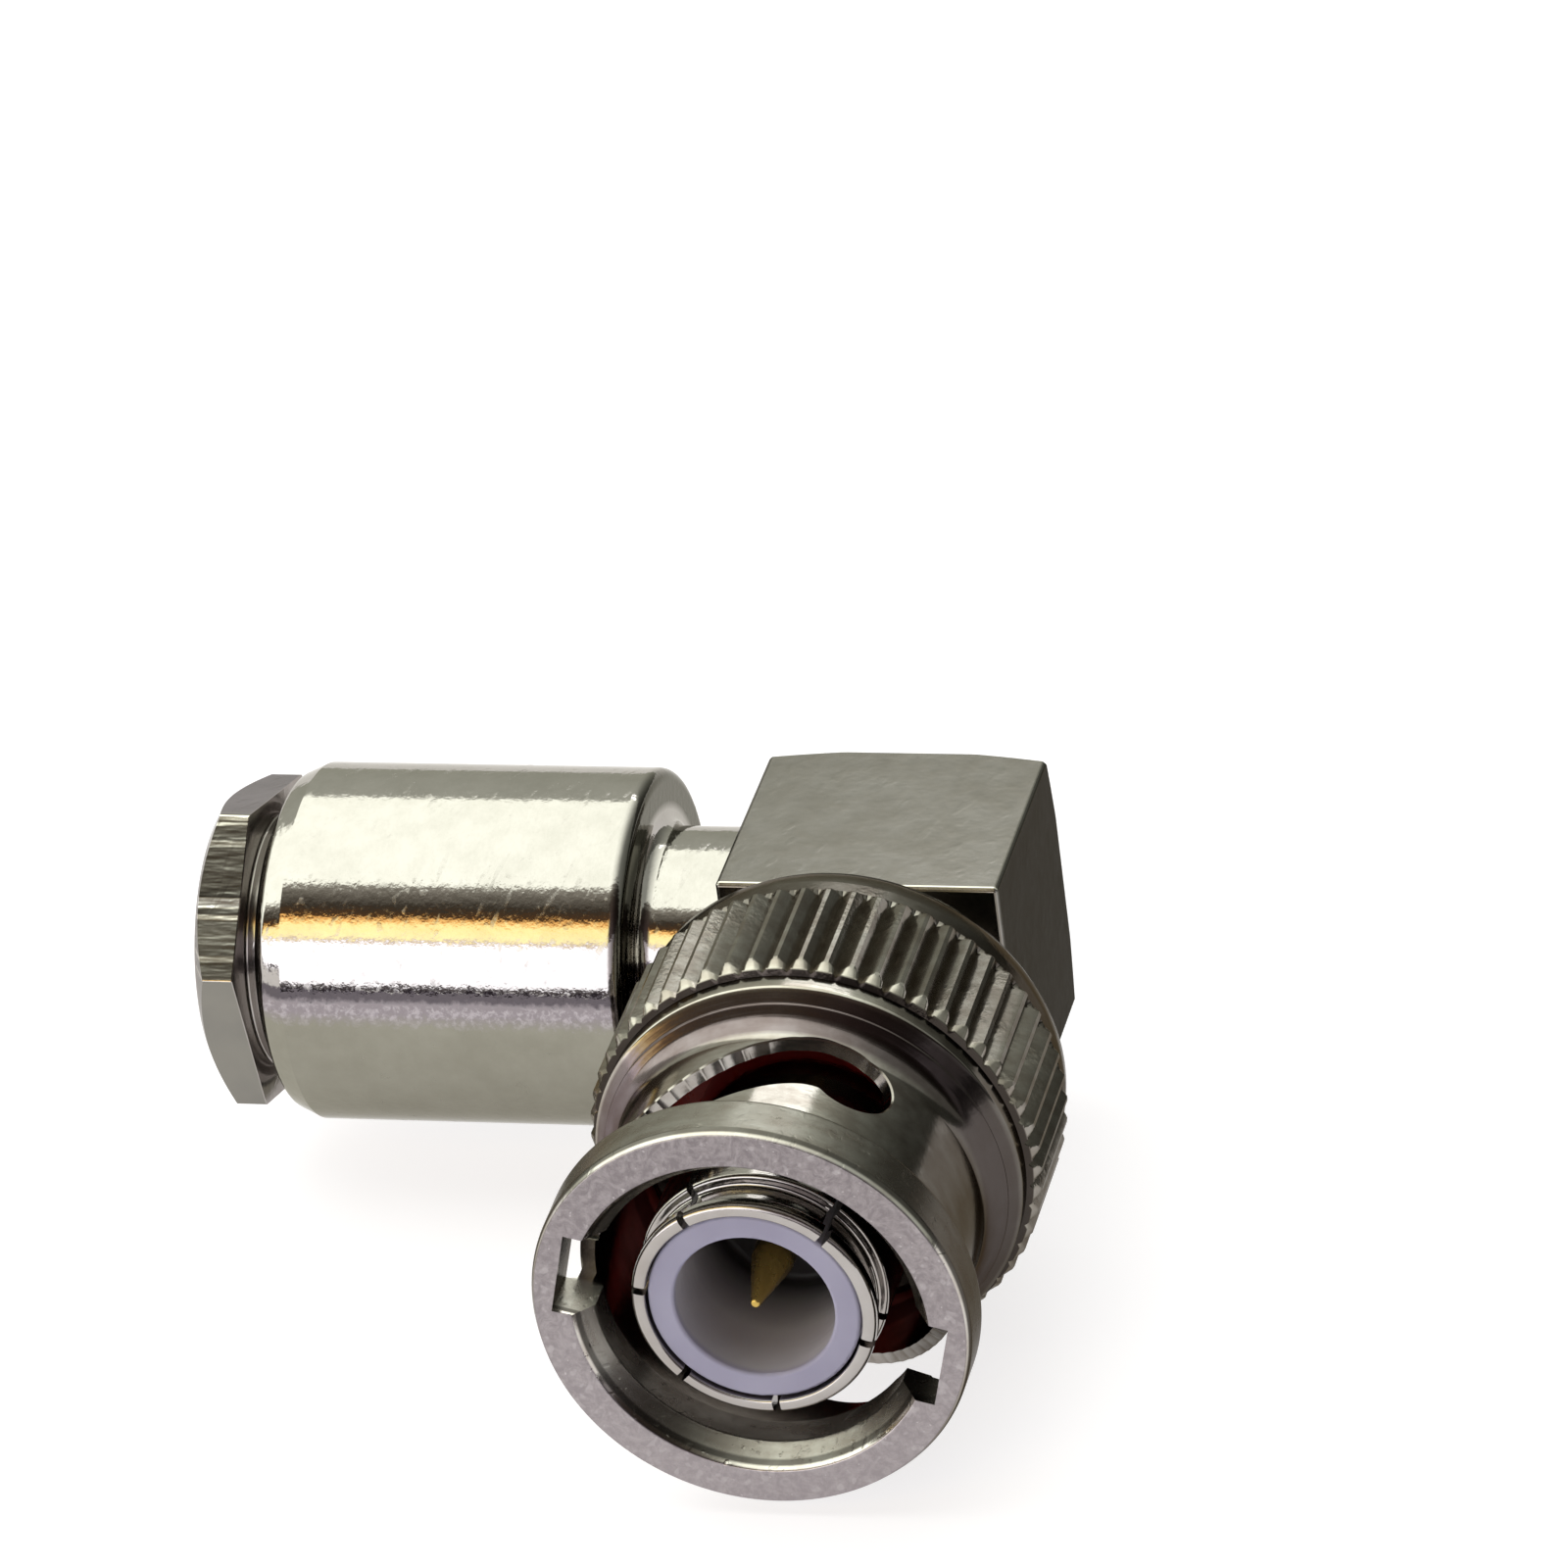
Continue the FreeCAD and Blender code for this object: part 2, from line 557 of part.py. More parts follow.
def clamp_nut():
    corner_r = HEX_ACROSS_FLATS / math.sqrt(3)
    corners = []
    for i in range(7):
        angle = math.radians(HEX_CORNER_ANGLE + 60 * i)
        corners.append(FreeCAD.Vector(HEX_OUTER_END, corner_r * math.cos(angle), corner_r * math.sin(angle)))
    hexagon = Part.Face(Part.makePolygon(corners)).extrude(FreeCAD.Vector(HEX_BACK - HEX_OUTER_END, 0, 0))
    reach = corner_r + OVERCUT
    rise = (reach - NUT_FACE_R) * math.tan(math.radians(HEX_CHAMFER_ANGLE))
    turned = turned_on_x([
        (HEX_OUTER_END, 0), (HEX_OUTER_END, NUT_FACE_R), (HEX_OUTER_END + rise, reach),
        (HEX_BACK + OVERCUT, reach), (HEX_BACK + OVERCUT, 0),
    ])
    root_r = THREAD_R - THREAD_HEIGHT
    relief_end = COLLAR_SHANK_END + THREAD_RELIEF_LENGTH
    shank = turned_on_x([
        (HEX_BACK, 0), (HEX_BACK, GROOVE_R), (GROOVE_END, GROOVE_R),
        (GROOVE_END, COLLAR_SHANK_R - COLLAR_BEVEL), (GROOVE_END + COLLAR_BEVEL, COLLAR_SHANK_R),
        (COLLAR_SHANK_END, COLLAR_SHANK_R), (COLLAR_SHANK_END, root_r), (relief_end, root_r),
        (relief_end + THREAD_HEIGHT, THREAD_R), (SHANK_END - THREAD_HEIGHT, THREAD_R),
        (SHANK_END, root_r), (SHANK_END, 0),
    ])
    mouth_r = CABLE_BORE_R + CABLE_MOUTH_BEVEL
    bore = turned_on_x([
        (HEX_OUTER_END - OVERCUT, 0), (HEX_OUTER_END - OVERCUT, mouth_r), (HEX_OUTER_END, mouth_r),
        (HEX_OUTER_END + CABLE_MOUTH_BEVEL, CABLE_BORE_R), (SHANK_END + OVERCUT, CABLE_BORE_R),
        (SHANK_END + OVERCUT, 0),
    ])
    return hexagon.common(turned).fuse(shank).cut(bore).removeSplitter()


def clamp_washer():
    end = CLAMP_WASHER_OUT + CLAMP_WASHER_THICK
    hole = rod_x(CABLE_BORE_R, CLAMP_WASHER_OUT - OVERCUT, end + OVERCUT)
    return rod_x(STACK_R, CLAMP_WASHER_OUT, end).cut(hole)


def seal_start():
    return CLAMP_WASHER_OUT + CLAMP_WASHER_THICK + FACE_GAP


def clamp_gasket():
    start = seal_start()
    end = start + SEAL_LENGTH
    return turned_on_x([
        (start, SEAL_BORE_R, 0.12), (start, STACK_R, 0.12), (end, STACK_R),
        (end - SEAL_V_DEPTH, SEAL_MIDDLE_R), (end, SEAL_BORE_R, 0.1),
    ])


def braid_clamp():
    start = seal_start() + SEAL_LENGTH + FACE_GAP
    end = start + CONE_LENGTH
    shoulder = end - CONE_NOSE_LENGTH
    return turned_on_x([
        (start, CONE_BORE_R), (start, SEAL_MIDDLE_R - CONE_CREST),
        (start - SEAL_V_DEPTH + CONE_V_GAP, SEAL_MIDDLE_R), (start, SEAL_MIDDLE_R + CONE_CREST),
        (start, STACK_R, 0.1), (shoulder, STACK_R, 0.1), (shoulder, CONE_NOSE_R + CONE_NOSE_RISE),
        (end, CONE_NOSE_R), (end, CONE_BORE_R),
    ])


PIECES = {
    "body_block": body_block,
    "plug_shell": plug_shell,
    "front_insulator": front_insulator,
    "rear_insulator": rear_insulator,
    "centre_contact": centre_contact,
    "coupling_nut": coupling_nut,
    "thrust_washer": thrust_washer,
    "wave_washer_front": wave_washer_front,
    "wave_washer_rear": wave_washer_rear,
    "retaining_ring": retaining_ring,
    "mating_gasket": mating_gasket,
    "clamp_barrel": clamp_barrel,
    "barrel_insulator": barrel_insulator,
    "clamp_nut": clamp_nut,
    "clamp_washer": clamp_washer,
    "clamp_gasket": clamp_gasket,
    "braid_clamp": braid_clamp,
    "access_cap": access_cap,
}


def write_pieces():
    os.makedirs("parts", exist_ok=True)
    for name, make in PIECES.items():
        solid = make().Solids[0]
        solid.translate(UP * (BODY_SIDE / 2))
        solid.exportStep("parts/" + name + ".step")
        print(name, solid.ShapeType, len(solid.Solids), solid.isValid(), round(solid.Volume, 2))


write_pieces()
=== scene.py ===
import math
from collections import namedtuple
from functools import partialmethod

import bmesh
import bpy
import numpy as np
from mathutils import Matrix, Vector


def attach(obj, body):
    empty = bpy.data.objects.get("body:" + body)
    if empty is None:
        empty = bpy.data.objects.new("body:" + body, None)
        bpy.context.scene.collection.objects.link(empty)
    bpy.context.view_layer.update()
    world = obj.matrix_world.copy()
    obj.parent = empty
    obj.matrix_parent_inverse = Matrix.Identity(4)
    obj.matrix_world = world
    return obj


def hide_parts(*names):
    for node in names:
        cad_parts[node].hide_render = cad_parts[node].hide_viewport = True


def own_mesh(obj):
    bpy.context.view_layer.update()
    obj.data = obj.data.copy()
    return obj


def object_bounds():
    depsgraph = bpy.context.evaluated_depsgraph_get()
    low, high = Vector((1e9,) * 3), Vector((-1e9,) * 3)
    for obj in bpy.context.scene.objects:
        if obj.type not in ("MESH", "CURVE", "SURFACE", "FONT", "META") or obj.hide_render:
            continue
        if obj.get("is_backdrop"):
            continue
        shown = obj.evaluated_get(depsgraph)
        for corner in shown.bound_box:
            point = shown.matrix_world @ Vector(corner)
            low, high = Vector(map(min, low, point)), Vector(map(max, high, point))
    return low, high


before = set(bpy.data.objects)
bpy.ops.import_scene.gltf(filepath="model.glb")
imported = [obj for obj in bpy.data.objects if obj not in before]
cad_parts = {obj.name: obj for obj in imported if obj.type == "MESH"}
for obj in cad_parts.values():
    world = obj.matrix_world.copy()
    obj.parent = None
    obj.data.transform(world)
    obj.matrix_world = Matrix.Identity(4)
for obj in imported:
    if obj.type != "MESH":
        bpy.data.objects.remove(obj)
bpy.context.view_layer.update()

# Sizes are in millimetres, as on the drawing of the plug. Meshes are made in metres.
MM = 0.001
# How far a cutter passes beyond the face it opens
OVERCUT = 1.0
# In metres: the distance under which two points are one, in copies and turned pieces and elsewhere,
# and the radius of the small circle that stands for the axis of a turned piece
MERGE_DISTANCE = 2e-6
DOUBLES_DISTANCE = 1e-7
AXIS_CIRCLE_R = 1e-7

# The plug axis runs along -Y and the cable axis along -X. They cross this high above the
# underside of the square body.
AXIS_HEIGHT = 4.75
PLUG_AXIS = (math.radians(90), 0, 0)
CABLE_AXIS = (0, math.radians(-90), 0)

# Coupling nut, positions along the plug axis
MOUTH_Y = -21.3
FLANGE_R = 7.05
FLANGE_BACK = -19.42
FLANGE_ROOT_ROUND = 0.3
MOUTH_BEVEL = 0.14
MOUTH_BEVEL_LENGTH = 0.3
LEAD_IN_R = 5.78
LEAD_IN_END = -20.45
NUT_BORE_R = 5.2
MOUTH_LAND_END = -19.4
RELIEF_R = 5.55
RELIEF_END = -11.6
NECK_R = 6.02
NECK_BACK = -13.95
COVE_ROUND = 1.2
LIP_R = 7.0
LIP_STEP_R = 6.62
LIP_STEP_FRONT = -13.35
LIP_STEP_BACK = -13.3
LIP_FRONT = -12.92
CROWN_R = 7.42
KNURL_FRONT = -12.3
KNURL_BACK = -7.75
KNURL_RUN_IN = 0.1
KNURL_RUN_OUT = 0.15
RIDGES = 56
SAMPLES_PER_RIDGE = 12
GROOVE_DEPTH = 0.33
GROOVE_SHARE = 0.41
RIDGE_STEP_R = 7.2
RIDGE_STEP_LENGTH = 0.066
RIDGE_FRONT_END = -11.84
COLLAR_R = 7.2
COLLAR_ROUND = 1.7
COLLAR_SHOULDER = 0.22
NUT_BACK = -5.3
NUT_LIP_FRONT = -6.8
NUT_LIP_BORE_R = 4.56
NOTCH_R = 6.2
NOTCH_WIDTH = 2.95
NOTCH_ANGLE = 165.5
NOTCH_END = -18.82
SLOT_WIDTH = 2.42
SLOT_HOLE_R = 1.3
SLOT_OUTER_R = 6.7
SLOT_INNER_SINK = 0.7
SLOT_EDGE_BEVEL = 0.05
SLOT_STEPS = 300
SLOT_HOLE_STEPS = 48
SLOT_HOLE_JOIN = 0.02
TOOTH_MARK_DEPTH = 0.03
TOOTH_MARK_LENGTH = 0.3
TOOTH_MARK_GROWTH = 0.022
SLOT_PATH = ((165.5, -19.3), (137.0, -18.05), (104.0, -16.55), (79.0, -15.47), (62.0, -15.75))

# Outer contact
TIP_Y = -20.73
TIP_R = 3.95
BEAD_LENGTH = 0.5
BEAD_SLOPE = 0.25
WAIST_R = 3.62
WAIST_END = -19.15
CONTACT_R = 4.0
FINGER_BORE_R = 3.48
SAW_WIDTH = 0.26
SAW_END = -14.6
SAW_ANGLES = (47, 120, 171, 225, 275, 342)
GASKET_FRONT = -11.2
GASKET_BACK = -9.9
GASKET_SEAT_R = 3.8
BEARING_R = 4.5
BEARING_END = -4.95
RING_FRONT = -9.3
RING_BACK = -8.7
RING_GROOVE_R = 4.1
SHELL_FLANGE_R = 4.62
BODY_FRONT = -3.45
SHELL_SEAT_R = 3.05
SHELL_BACK = -1.5
REAR_BORE_R = 2.35
REAR_BORE_FRONT = -6.2

# Clamp barrel and clamp nut, positions along the cable axis
BARREL_R = 6.0
BARREL_INNER_END = -7.76
BARREL_OUTER_END = -20.4
BARREL_BEVEL_START = -19.43
BARREL_RIM_R = 5.28
BARREL_BEVEL_R = 5.66
BARREL_BEVEL_MIDDLE = -20.19
BARREL_EDGE_ROUND = 0.4
BARREL_THREAD = (-19.1, -12.2)
BARREL_THREAD_DEPTH = 0.2
RECESS_R = 5.0
RECESS_FLOOR = -19.2
THREAD_BORE_R = 4.58
THREAD_BORE_END = -9.4
NECK_TUBE_R = 4.07
NECK_TUBE_BORE_R = 2.2
NECK_ROOT_ROUND = 0.45
BODY_SIDE_X = -4.75
SPIGOT_R = 3.1
SPIGOT_END = -3.6
HEX_ACROSS_FLATS = 10.0
HEX_CORNER_ANGLE = 42.0
HEX_OUTER_END = -22.78
HEX_BACK = -21.15
HEX_CORNER_R = HEX_ACROSS_FLATS / math.sqrt(3)
HEX_CORNER_ROUND = 0.1
HEX_BLANK_MARGIN = 0.02
HEX_CHAMFER_ANGLE = 30
HEX_SLEEVE_OVERRUN = 0.2
NUT_FACE_R = 4.72
CABLE_BORE_R = 2.9
CABLE_MOUTH_BEVEL = 0.32
GROOVE_R = 4.25
GROOVE_END = -20.72
SHANK_COLLAR_R = 4.86
SHANK_COLLAR_BEVEL = 0.25
SHANK_COLLAR_END = -19.95
THREAD_ROOT_R = 4.2
THREAD_R = 4.5
THREAD_FRONT = -19.05
THREAD_BACK = -15.45
THREAD_CHAMFER = 0.3
NUT_THREAD = (-19.0, -15.5)
NUT_THREAD_DEPTH = 0.28
THREAD_PITCH = 0.75


# Outlines


def corner_arc(before, corner, after, radius):
    """Points that round one corner of an outline."""
    to_before = (before - corner).normalized()
    to_after = (after - corner).normalized()
    half = to_before.angle(to_after) / 2
    start = corner + to_before * (radius / math.tan(half))
    centre = corner + (to_before + to_after).normalized() * (radius / math.sin(half))
    swing = math.pi - 2 * half
    steps = max(2, math.ceil(math.degrees(swing) / 18))
    first = start - centre
    turn = math.copysign(swing, to_before.cross(to_after) * -1)
    return [centre + Matrix.Rotation(turn * i / steps, 2) @ first for i in range(steps + 1)]


def outline(corners, support=0.05):
    """Closed ring of points from corners. A third number rounds a corner.

    Long straight runs get a point close to each end, which keeps their shading flat.
    """
    places = [Vector(c[:2]) for c in corners]
    ring = []
    for i, corner in enumerate(corners):
        before = places[i - 1]
        after = places[(i + 1) % len(places)]
        if len(corner) > 2:
            ring.append(corner_arc(before, places[i], after, corner[2]))
        else:
            ring.append([places[i]])
    points = []
    for i, arc in enumerate(ring):
        points += arc
        start = arc[-1]
        end = ring[(i + 1) % len(ring)][0]
        if (end - start).length > 4 * support:
            step = (end - start).normalized() * support
            points += [start + step, end - step]
    return points


def with_rows(points, start, end, step, slack=0.01, shortest=1):
    """The same ring with more points on the straight run between two heights, for a thread."""
    dense = []
    for i, p in enumerate(points):
        dense.append(p)
        after = points[(i + 1) % len(points)]
        low, high = sorted((p.y, after.y))
        if low >= start - slack and high <= end + slack and high - low > shortest:
            count = round((high - low) / step)
            dense += [p.lerp(after, k / count) for k in range(1, count)]
    return dense


# Node trees


class NodeMaker:
    """Adds nodes to a tree. A socket is fed by another node's output or by a plain value."""

    def __init__(self, tree):
        self.tree = tree

    def feed(self, socket, what):
        if isinstance(what, bpy.types.NodeSocket):
            self.tree.links.new(what, socket)
        else:
            socket.default_value = what

    def fill(self, made, **values):
        """Feeds a node's sockets by their names, with underscores for spaces."""
        for name, what in values.items():
            self.feed(made.inputs[name.replace("_", " ")], what)
        return made

    def node(self, kind, **values):
        return self.fill(self.tree.nodes.new(kind), **values)

    def math(self, operation, *values):
        made = self.tree.nodes.new("ShaderNodeMath")
        made.operation = operation
        for socket, what in zip(made.inputs, values):
            self.feed(socket, what)
        return made.outputs[0]

    plus = partialmethod(math, "ADD")
    minus = partialmethod(math, "SUBTRACT")
    times = partialmethod(math, "MULTIPLY")
    over = partialmethod(math, "DIVIDE")

    def round_centre(self, side, up):
        """Distance from the centre, and the angle round it in turns."""
        radius = self.math("SQRT", self.plus(self.times(side, side), self.times(up, up)))
        return radius, self.over(self.math("ARCTAN2", up, side), 2 * math.pi)

    def spread(self, value, low, high, to_low=0, to_high=1):
        """Stretches the part of a value between low and high, and holds it beyond them."""
        limits = {"From_Min": low, "From_Max": high, "To_Min": to_low, "To_Max": to_high}
        return self.node("ShaderNodeMapRange", Value=value, **limits).outputs[0]

    def mix(self, factor, first, second):
        made = self.tree.nodes.new("ShaderNodeMix")
        made.data_type = "RGBA"
        self.feed(made.inputs[0], factor)
        for socket, what in ((made.inputs[6], first), (made.inputs[7], second)):
            self.feed(socket, what if isinstance(what, bpy.types.NodeSocket) else (*what, 1))
        return made.outputs[2]

    def ramp(self, value, stops, start=0, end=1):
        """Colours along a value that is 0 at the start and 1 at the end. Each stop is a place
        between them and its colour."""
        made = self.node("ShaderNodeValToRGB", Fac=value)
        elements = made.color_ramp.elements
        while len(elements) > 1:
            elements.remove(elements[-1])
        for i, (place, colour) in enumerate(stops):
            position = (place - start) / (end - start)
            stop = elements.new(position) if i else elements[0]
            stop.position = position
            stop.color = (*colour, 1)
        return made.outputs[0]


# Turned pieces, made with Geometry Nodes


class Tree(NodeMaker):
    """A Geometry Nodes tree with named inputs."""

    def __init__(self, name):
        super().__init__(bpy.data.node_groups.new(name, "GeometryNodeTree"))
        self.source = None

    def add_socket(self, name, kind):
        self.tree.interface.new_socket(name, in_out="INPUT", socket_type=kind)

    def start(self):
        self.source = self.node("NodeGroupInput")

    def value(self, name):
        return self.source.outputs[name]

    def finish(self, geometry):
        self.tree.interface.new_socket("Geometry", in_out="OUTPUT", socket_type="NodeSocketGeometry")
        self.feed(self.node("NodeGroupOutput").inputs[0], geometry)
        return self.tree


def turning_tree():
    """Turns an outline about an axis. A band of it may be knurled, and a band threaded."""
    tree = Tree("turning")
    tree.add_socket("Geometry", "NodeSocketGeometry")
    tree.add_socket("Segments", "NodeSocketInt")
    for name in ("Ridge Count", "Crown Radius", "Groove Depth", "Groove Share", "Knurl Start",
                 "Knurl End", "Thread Pitch", "Thread Depth", "Thread Start", "Thread End"):
        tree.add_socket(name, "NodeSocketFloat")
    tree.add_socket("Axis Turn", "NodeSocketVector")
    tree.add_socket("Axis Place", "NodeSocketVector")
    tree.add_socket("Material", "NodeSocketMaterial")
    tree.start()
    profile = tree.node("GeometryNodeMeshToCurve", Mesh=tree.value("Geometry")).outputs[0]
    circle = tree.node(
        "GeometryNodeCurvePrimitiveCircle", Resolution=tree.value("Segments"), Radius=AXIS_CIRCLE_R
    )
    ring = tree.node("GeometryNodeCurveToMesh", Curve=circle.outputs[0], Profile_Curve=profile)
    shaped = thread_band(tree, knurl_band(tree, ring.outputs[0]))
    merged = tree.node("GeometryNodeMergeByDistance", Geometry=shaped, Distance=MERGE_DISTANCE).outputs[0]
    placed = tree.node(
        "GeometryNodeTransform", Geometry=merged, Rotation=tree.value("Axis Turn"),
        Translation=tree.value("Axis Place"),
    )
    real = tree.node("GeometryNodeRealizeInstances", Geometry=placed.outputs[0]).outputs[0]
    dressed = tree.node("GeometryNodeSetMaterial", Geometry=real, Material=tree.value("Material"))
    return tree.finish(dressed.outputs[0])


# A point on the turned form, with its angle in turns and its height along the axis
Place = namedtuple("Place", "x y radius turns height")


def polar(tree):
    position = tree.node("GeometryNodeInputPosition").outputs[0]
    x, y, z = tree.node("ShaderNodeSeparateXYZ", Vector=position).outputs
    radius, turns = tree.round_centre(x, y)
    return Place(x, y, radius, turns, tree.times(z, -1.0))


def move_to_radius(tree, geometry, place, radius, band):
    """Moves the points of a band in or out, at their own angle and height."""
    behind = tree.math("GREATER_THAN", place.height, tree.value(band + " Start"))
    before = tree.math("LESS_THAN", place.height, tree.value(band + " End"))
    factor = tree.over(radius, place.radius)
    moved = tree.node(
        "ShaderNodeCombineXYZ", X=tree.times(place.x, factor), Y=tree.times(place.y, factor),
        Z=tree.times(place.height, -1.0),
    )
    made = tree.node(
        "GeometryNodeSetPosition", Geometry=geometry, Selection=tree.times(behind, before),
        Position=moved.outputs[0],
    )
    return made.outputs[0]


def from_middle(tree, value):
    """How far a value is from the nearest whole number."""
    return tree.math("ABSOLUTE", tree.minus(value, tree.math("ROUND", value)))


def knurl_band(tree, geometry):
    """Straight grooves round the crown. They cut no deeper than their own V."""
    place = polar(tree)
    off_groove = from_middle(tree, tree.times(place.turns, tree.value("Ridge Count")))
    rise = tree.over(off_groove, tree.value("Groove Share"))
    fall = tree.math("MAXIMUM", tree.minus(1.0, rise), 0.0)
    limit = tree.minus(tree.value("Crown Radius"), tree.times(fall, tree.value("Groove Depth")))
    return move_to_radius(tree, geometry, place, tree.math("MINIMUM", place.radius, limit), "Knurl")


def thread_band(tree, geometry):
    """A screw thread: the wall moves in by a triangle wave that climbs one pitch a turn."""
    place = polar(tree)
    pitch = tree.math("MAXIMUM", tree.value("Thread Pitch"), 1e-6)
    climb = tree.plus(tree.over(place.height, pitch), place.turns)
    wave = tree.times(from_middle(tree, climb), 2.0)
    radius = tree.minus(place.radius, tree.times(wave, tree.value("Thread Depth")))
    return move_to_radius(tree, geometry, place, radius, "Thread")


TURNING = turning_tree()


def plain_mesh(piece):
    """The piece with what its modifiers show as its own mesh, and no modifier left."""
    bpy.context.view_layer.update()
    depsgraph = bpy.context.evaluated_depsgraph_get()
    mesh = bpy.data.meshes.new_from_object(piece.evaluated_get(depsgraph))
    piece.modifiers.clear()
    piece.data = mesh
    mesh.name = piece.name
    return piece


def link(name, data):
    """An object in the scene with this mesh, lamp or lens."""
    piece = bpy.data.objects.new(name, data)
    bpy.context.scene.collection.objects.link(piece)
    return piece


def piece_from(name, points, edges, faces):
    """A piece from points in metres."""
    mesh = bpy.data.meshes.new(name)
    mesh.from_pydata(points, edges, faces)
    return link(name, mesh)


def turned(name, points, axis, material, segments=192, **sizes):
    """A piece of revolution. Sizes name the tree's inputs, in millimetres where they are lengths."""
    count = len(points)
    corners = [(p.x * MM, p.y * MM, 0) for p in points]
    piece = piece_from(name, corners, [(i, (i + 1) % count) for i in range(count)], [])
    modifier = piece.modifiers.new("turning", "NODES")
    modifier.node_group = TURNING
    sockets = {s.name: s.identifier for s in TURNING.interface.items_tree if s.in_out == "INPUT"}
    modifier[sockets["Segments"]] = segments
    modifier[sockets["Axis Turn"]] = axis
    modifier[sockets["Axis Place"]] = (0, 0, AXIS_HEIGHT * MM)
    modifier[sockets["Material"]] = material
    for key, size in sizes.items():
        label = key.replace("_", " ").title()
        scale = 1 if label in ("Ridge Count", "Groove Share") else MM
        modifier[sockets[label]] = float(size) * scale
    return face_outwards(plain_mesh(piece))


def face_outwards(piece, distance=DOUBLES_DISTANCE):
    """Merges points that coincide and turns all faces outwards."""
    work = bmesh.new()
    work.from_mesh(piece.data)
    bmesh.ops.remove_doubles(work, verts=work.verts, dist=distance)
    bmesh.ops.recalc_face_normals(work, faces=work.faces)
    work.to_mesh(piece.data)
    work.free()
    return piece


def solid_from(name, points, faces):
    """A closed solid from points in millimetres."""
    return face_outwards(piece_from(name, [tuple(c * MM for c in p) for p in points], [], faces))


def cut(piece, cutters):
    """Takes the cutters away from the piece, one after the other."""
    for cutter in cutters:
        modifier = piece.modifiers.new("cut", "BOOLEAN")
        modifier.operation = "DIFFERENCE"
        modifier.solver = "EXACT"
        modifier.object = cutter
        plain_mesh(piece)
        bpy.data.objects.remove(cutter)
    return piece


def finish_piece(piece, body, slot, *nodes, crease=32):
    """Smooth faces with crisp creases, riding on its body in place of its CAD nodes."""
    piece.data.shade_smooth()
    piece.data.set_sharp_from_angle(angle=math.radians(crease))
    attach(piece, body)
    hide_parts(*nodes)
    return piece


def on_plug(radius, angle, y):
    """A point at this angle from +X towards +Z round the plug axis, in millimetres."""
    turn = math.radians(angle)
    return radius * math.cos(turn), y, radius * math.sin(turn) + AXIS_HEIGHT


def block_cutter(name, angle, radii, heights, width):
    """A straight-sided cutter that points away from the plug axis."""
    across = Vector(on_plug(1, angle + 90, 0)) - Vector((0, 0, AXIS_HEIGHT))
    points = []
    for radius in radii:
        for y in heights:
            middle = Vector(on_plug(radius, angle, y))
            points += [tuple(middle - across * width / 2), tuple(middle + across * width / 2)]
    faces = [(0, 1, 3, 2), (4, 6, 7, 5), (0, 4, 5, 1), (2, 3, 7, 6), (0, 2, 6, 4), (1, 5, 7, 3)]
    return solid_from(name, points, faces)


# Coupling nut


def nut_outline():
    """Section of the nut, from the edge of its mouth over the outside and back along the bore."""
    relief = RELIEF_R - NUT_BORE_R
    return outline([
        (LEAD_IN_R, MOUTH_Y, 0.08), (FLANGE_R - MOUTH_BEVEL, MOUTH_Y, 0.04),
        (FLANGE_R, MOUTH_Y + MOUTH_BEVEL_LENGTH, 0.15), (FLANGE_R, FLANGE_BACK, 0.12),
        (NECK_R, FLANGE_BACK, FLANGE_ROOT_ROUND), (NECK_R, NECK_BACK, COVE_ROUND),
        (LIP_STEP_R, LIP_STEP_FRONT, 0.04), (LIP_STEP_R, LIP_STEP_BACK, 0.03),
        (LIP_R, LIP_FRONT, 0.12), (LIP_R, KNURL_FRONT),
        (RIDGE_STEP_R, KNURL_FRONT + RIDGE_STEP_LENGTH), (CROWN_R, RIDGE_FRONT_END, 0.15),
        (CROWN_R, KNURL_BACK, 0.06), (COLLAR_R, KNURL_BACK + COLLAR_SHOULDER),
        (COLLAR_R, NUT_BACK, COLLAR_ROUND), (NUT_LIP_BORE_R, NUT_BACK, 0.12),
        (NUT_LIP_BORE_R, NUT_LIP_FRONT), (NUT_BORE_R, NUT_LIP_FRONT), (NUT_BORE_R, RELIEF_END),
        (RELIEF_R, RELIEF_END - relief), (RELIEF_R, MOUTH_LAND_END + relief), (NUT_BORE_R, MOUTH_LAND_END),
        (NUT_BORE_R, LEAD_IN_END, 0.1),
    ])


def slot_centre(steps):
    """The curved slot's centre line on the unrolled neck, from its start to its end hole."""
    angles = [angle for angle, y in SLOT_PATH]
    heights = [y for angle, y in SLOT_PATH]
    curve = np.polyfit(angles, heights, len(SLOT_PATH) - 1)
    shares = np.linspace(angles[0], angles[-1], steps + 1)
    return [Vector((math.radians(a) * NECK_R, float(np.polyval(curve, a)))) for a in shares]


def tooth_mark(travel):
    """Scallops that the milling cutter left on the slot's rear wall, wider near the end hole."""
    marks = travel / (TOOTH_MARK_LENGTH + TOOTH_MARK_GROWTH * travel)
    return TOOTH_MARK_DEPTH * abs(math.sin(math.pi * marks))


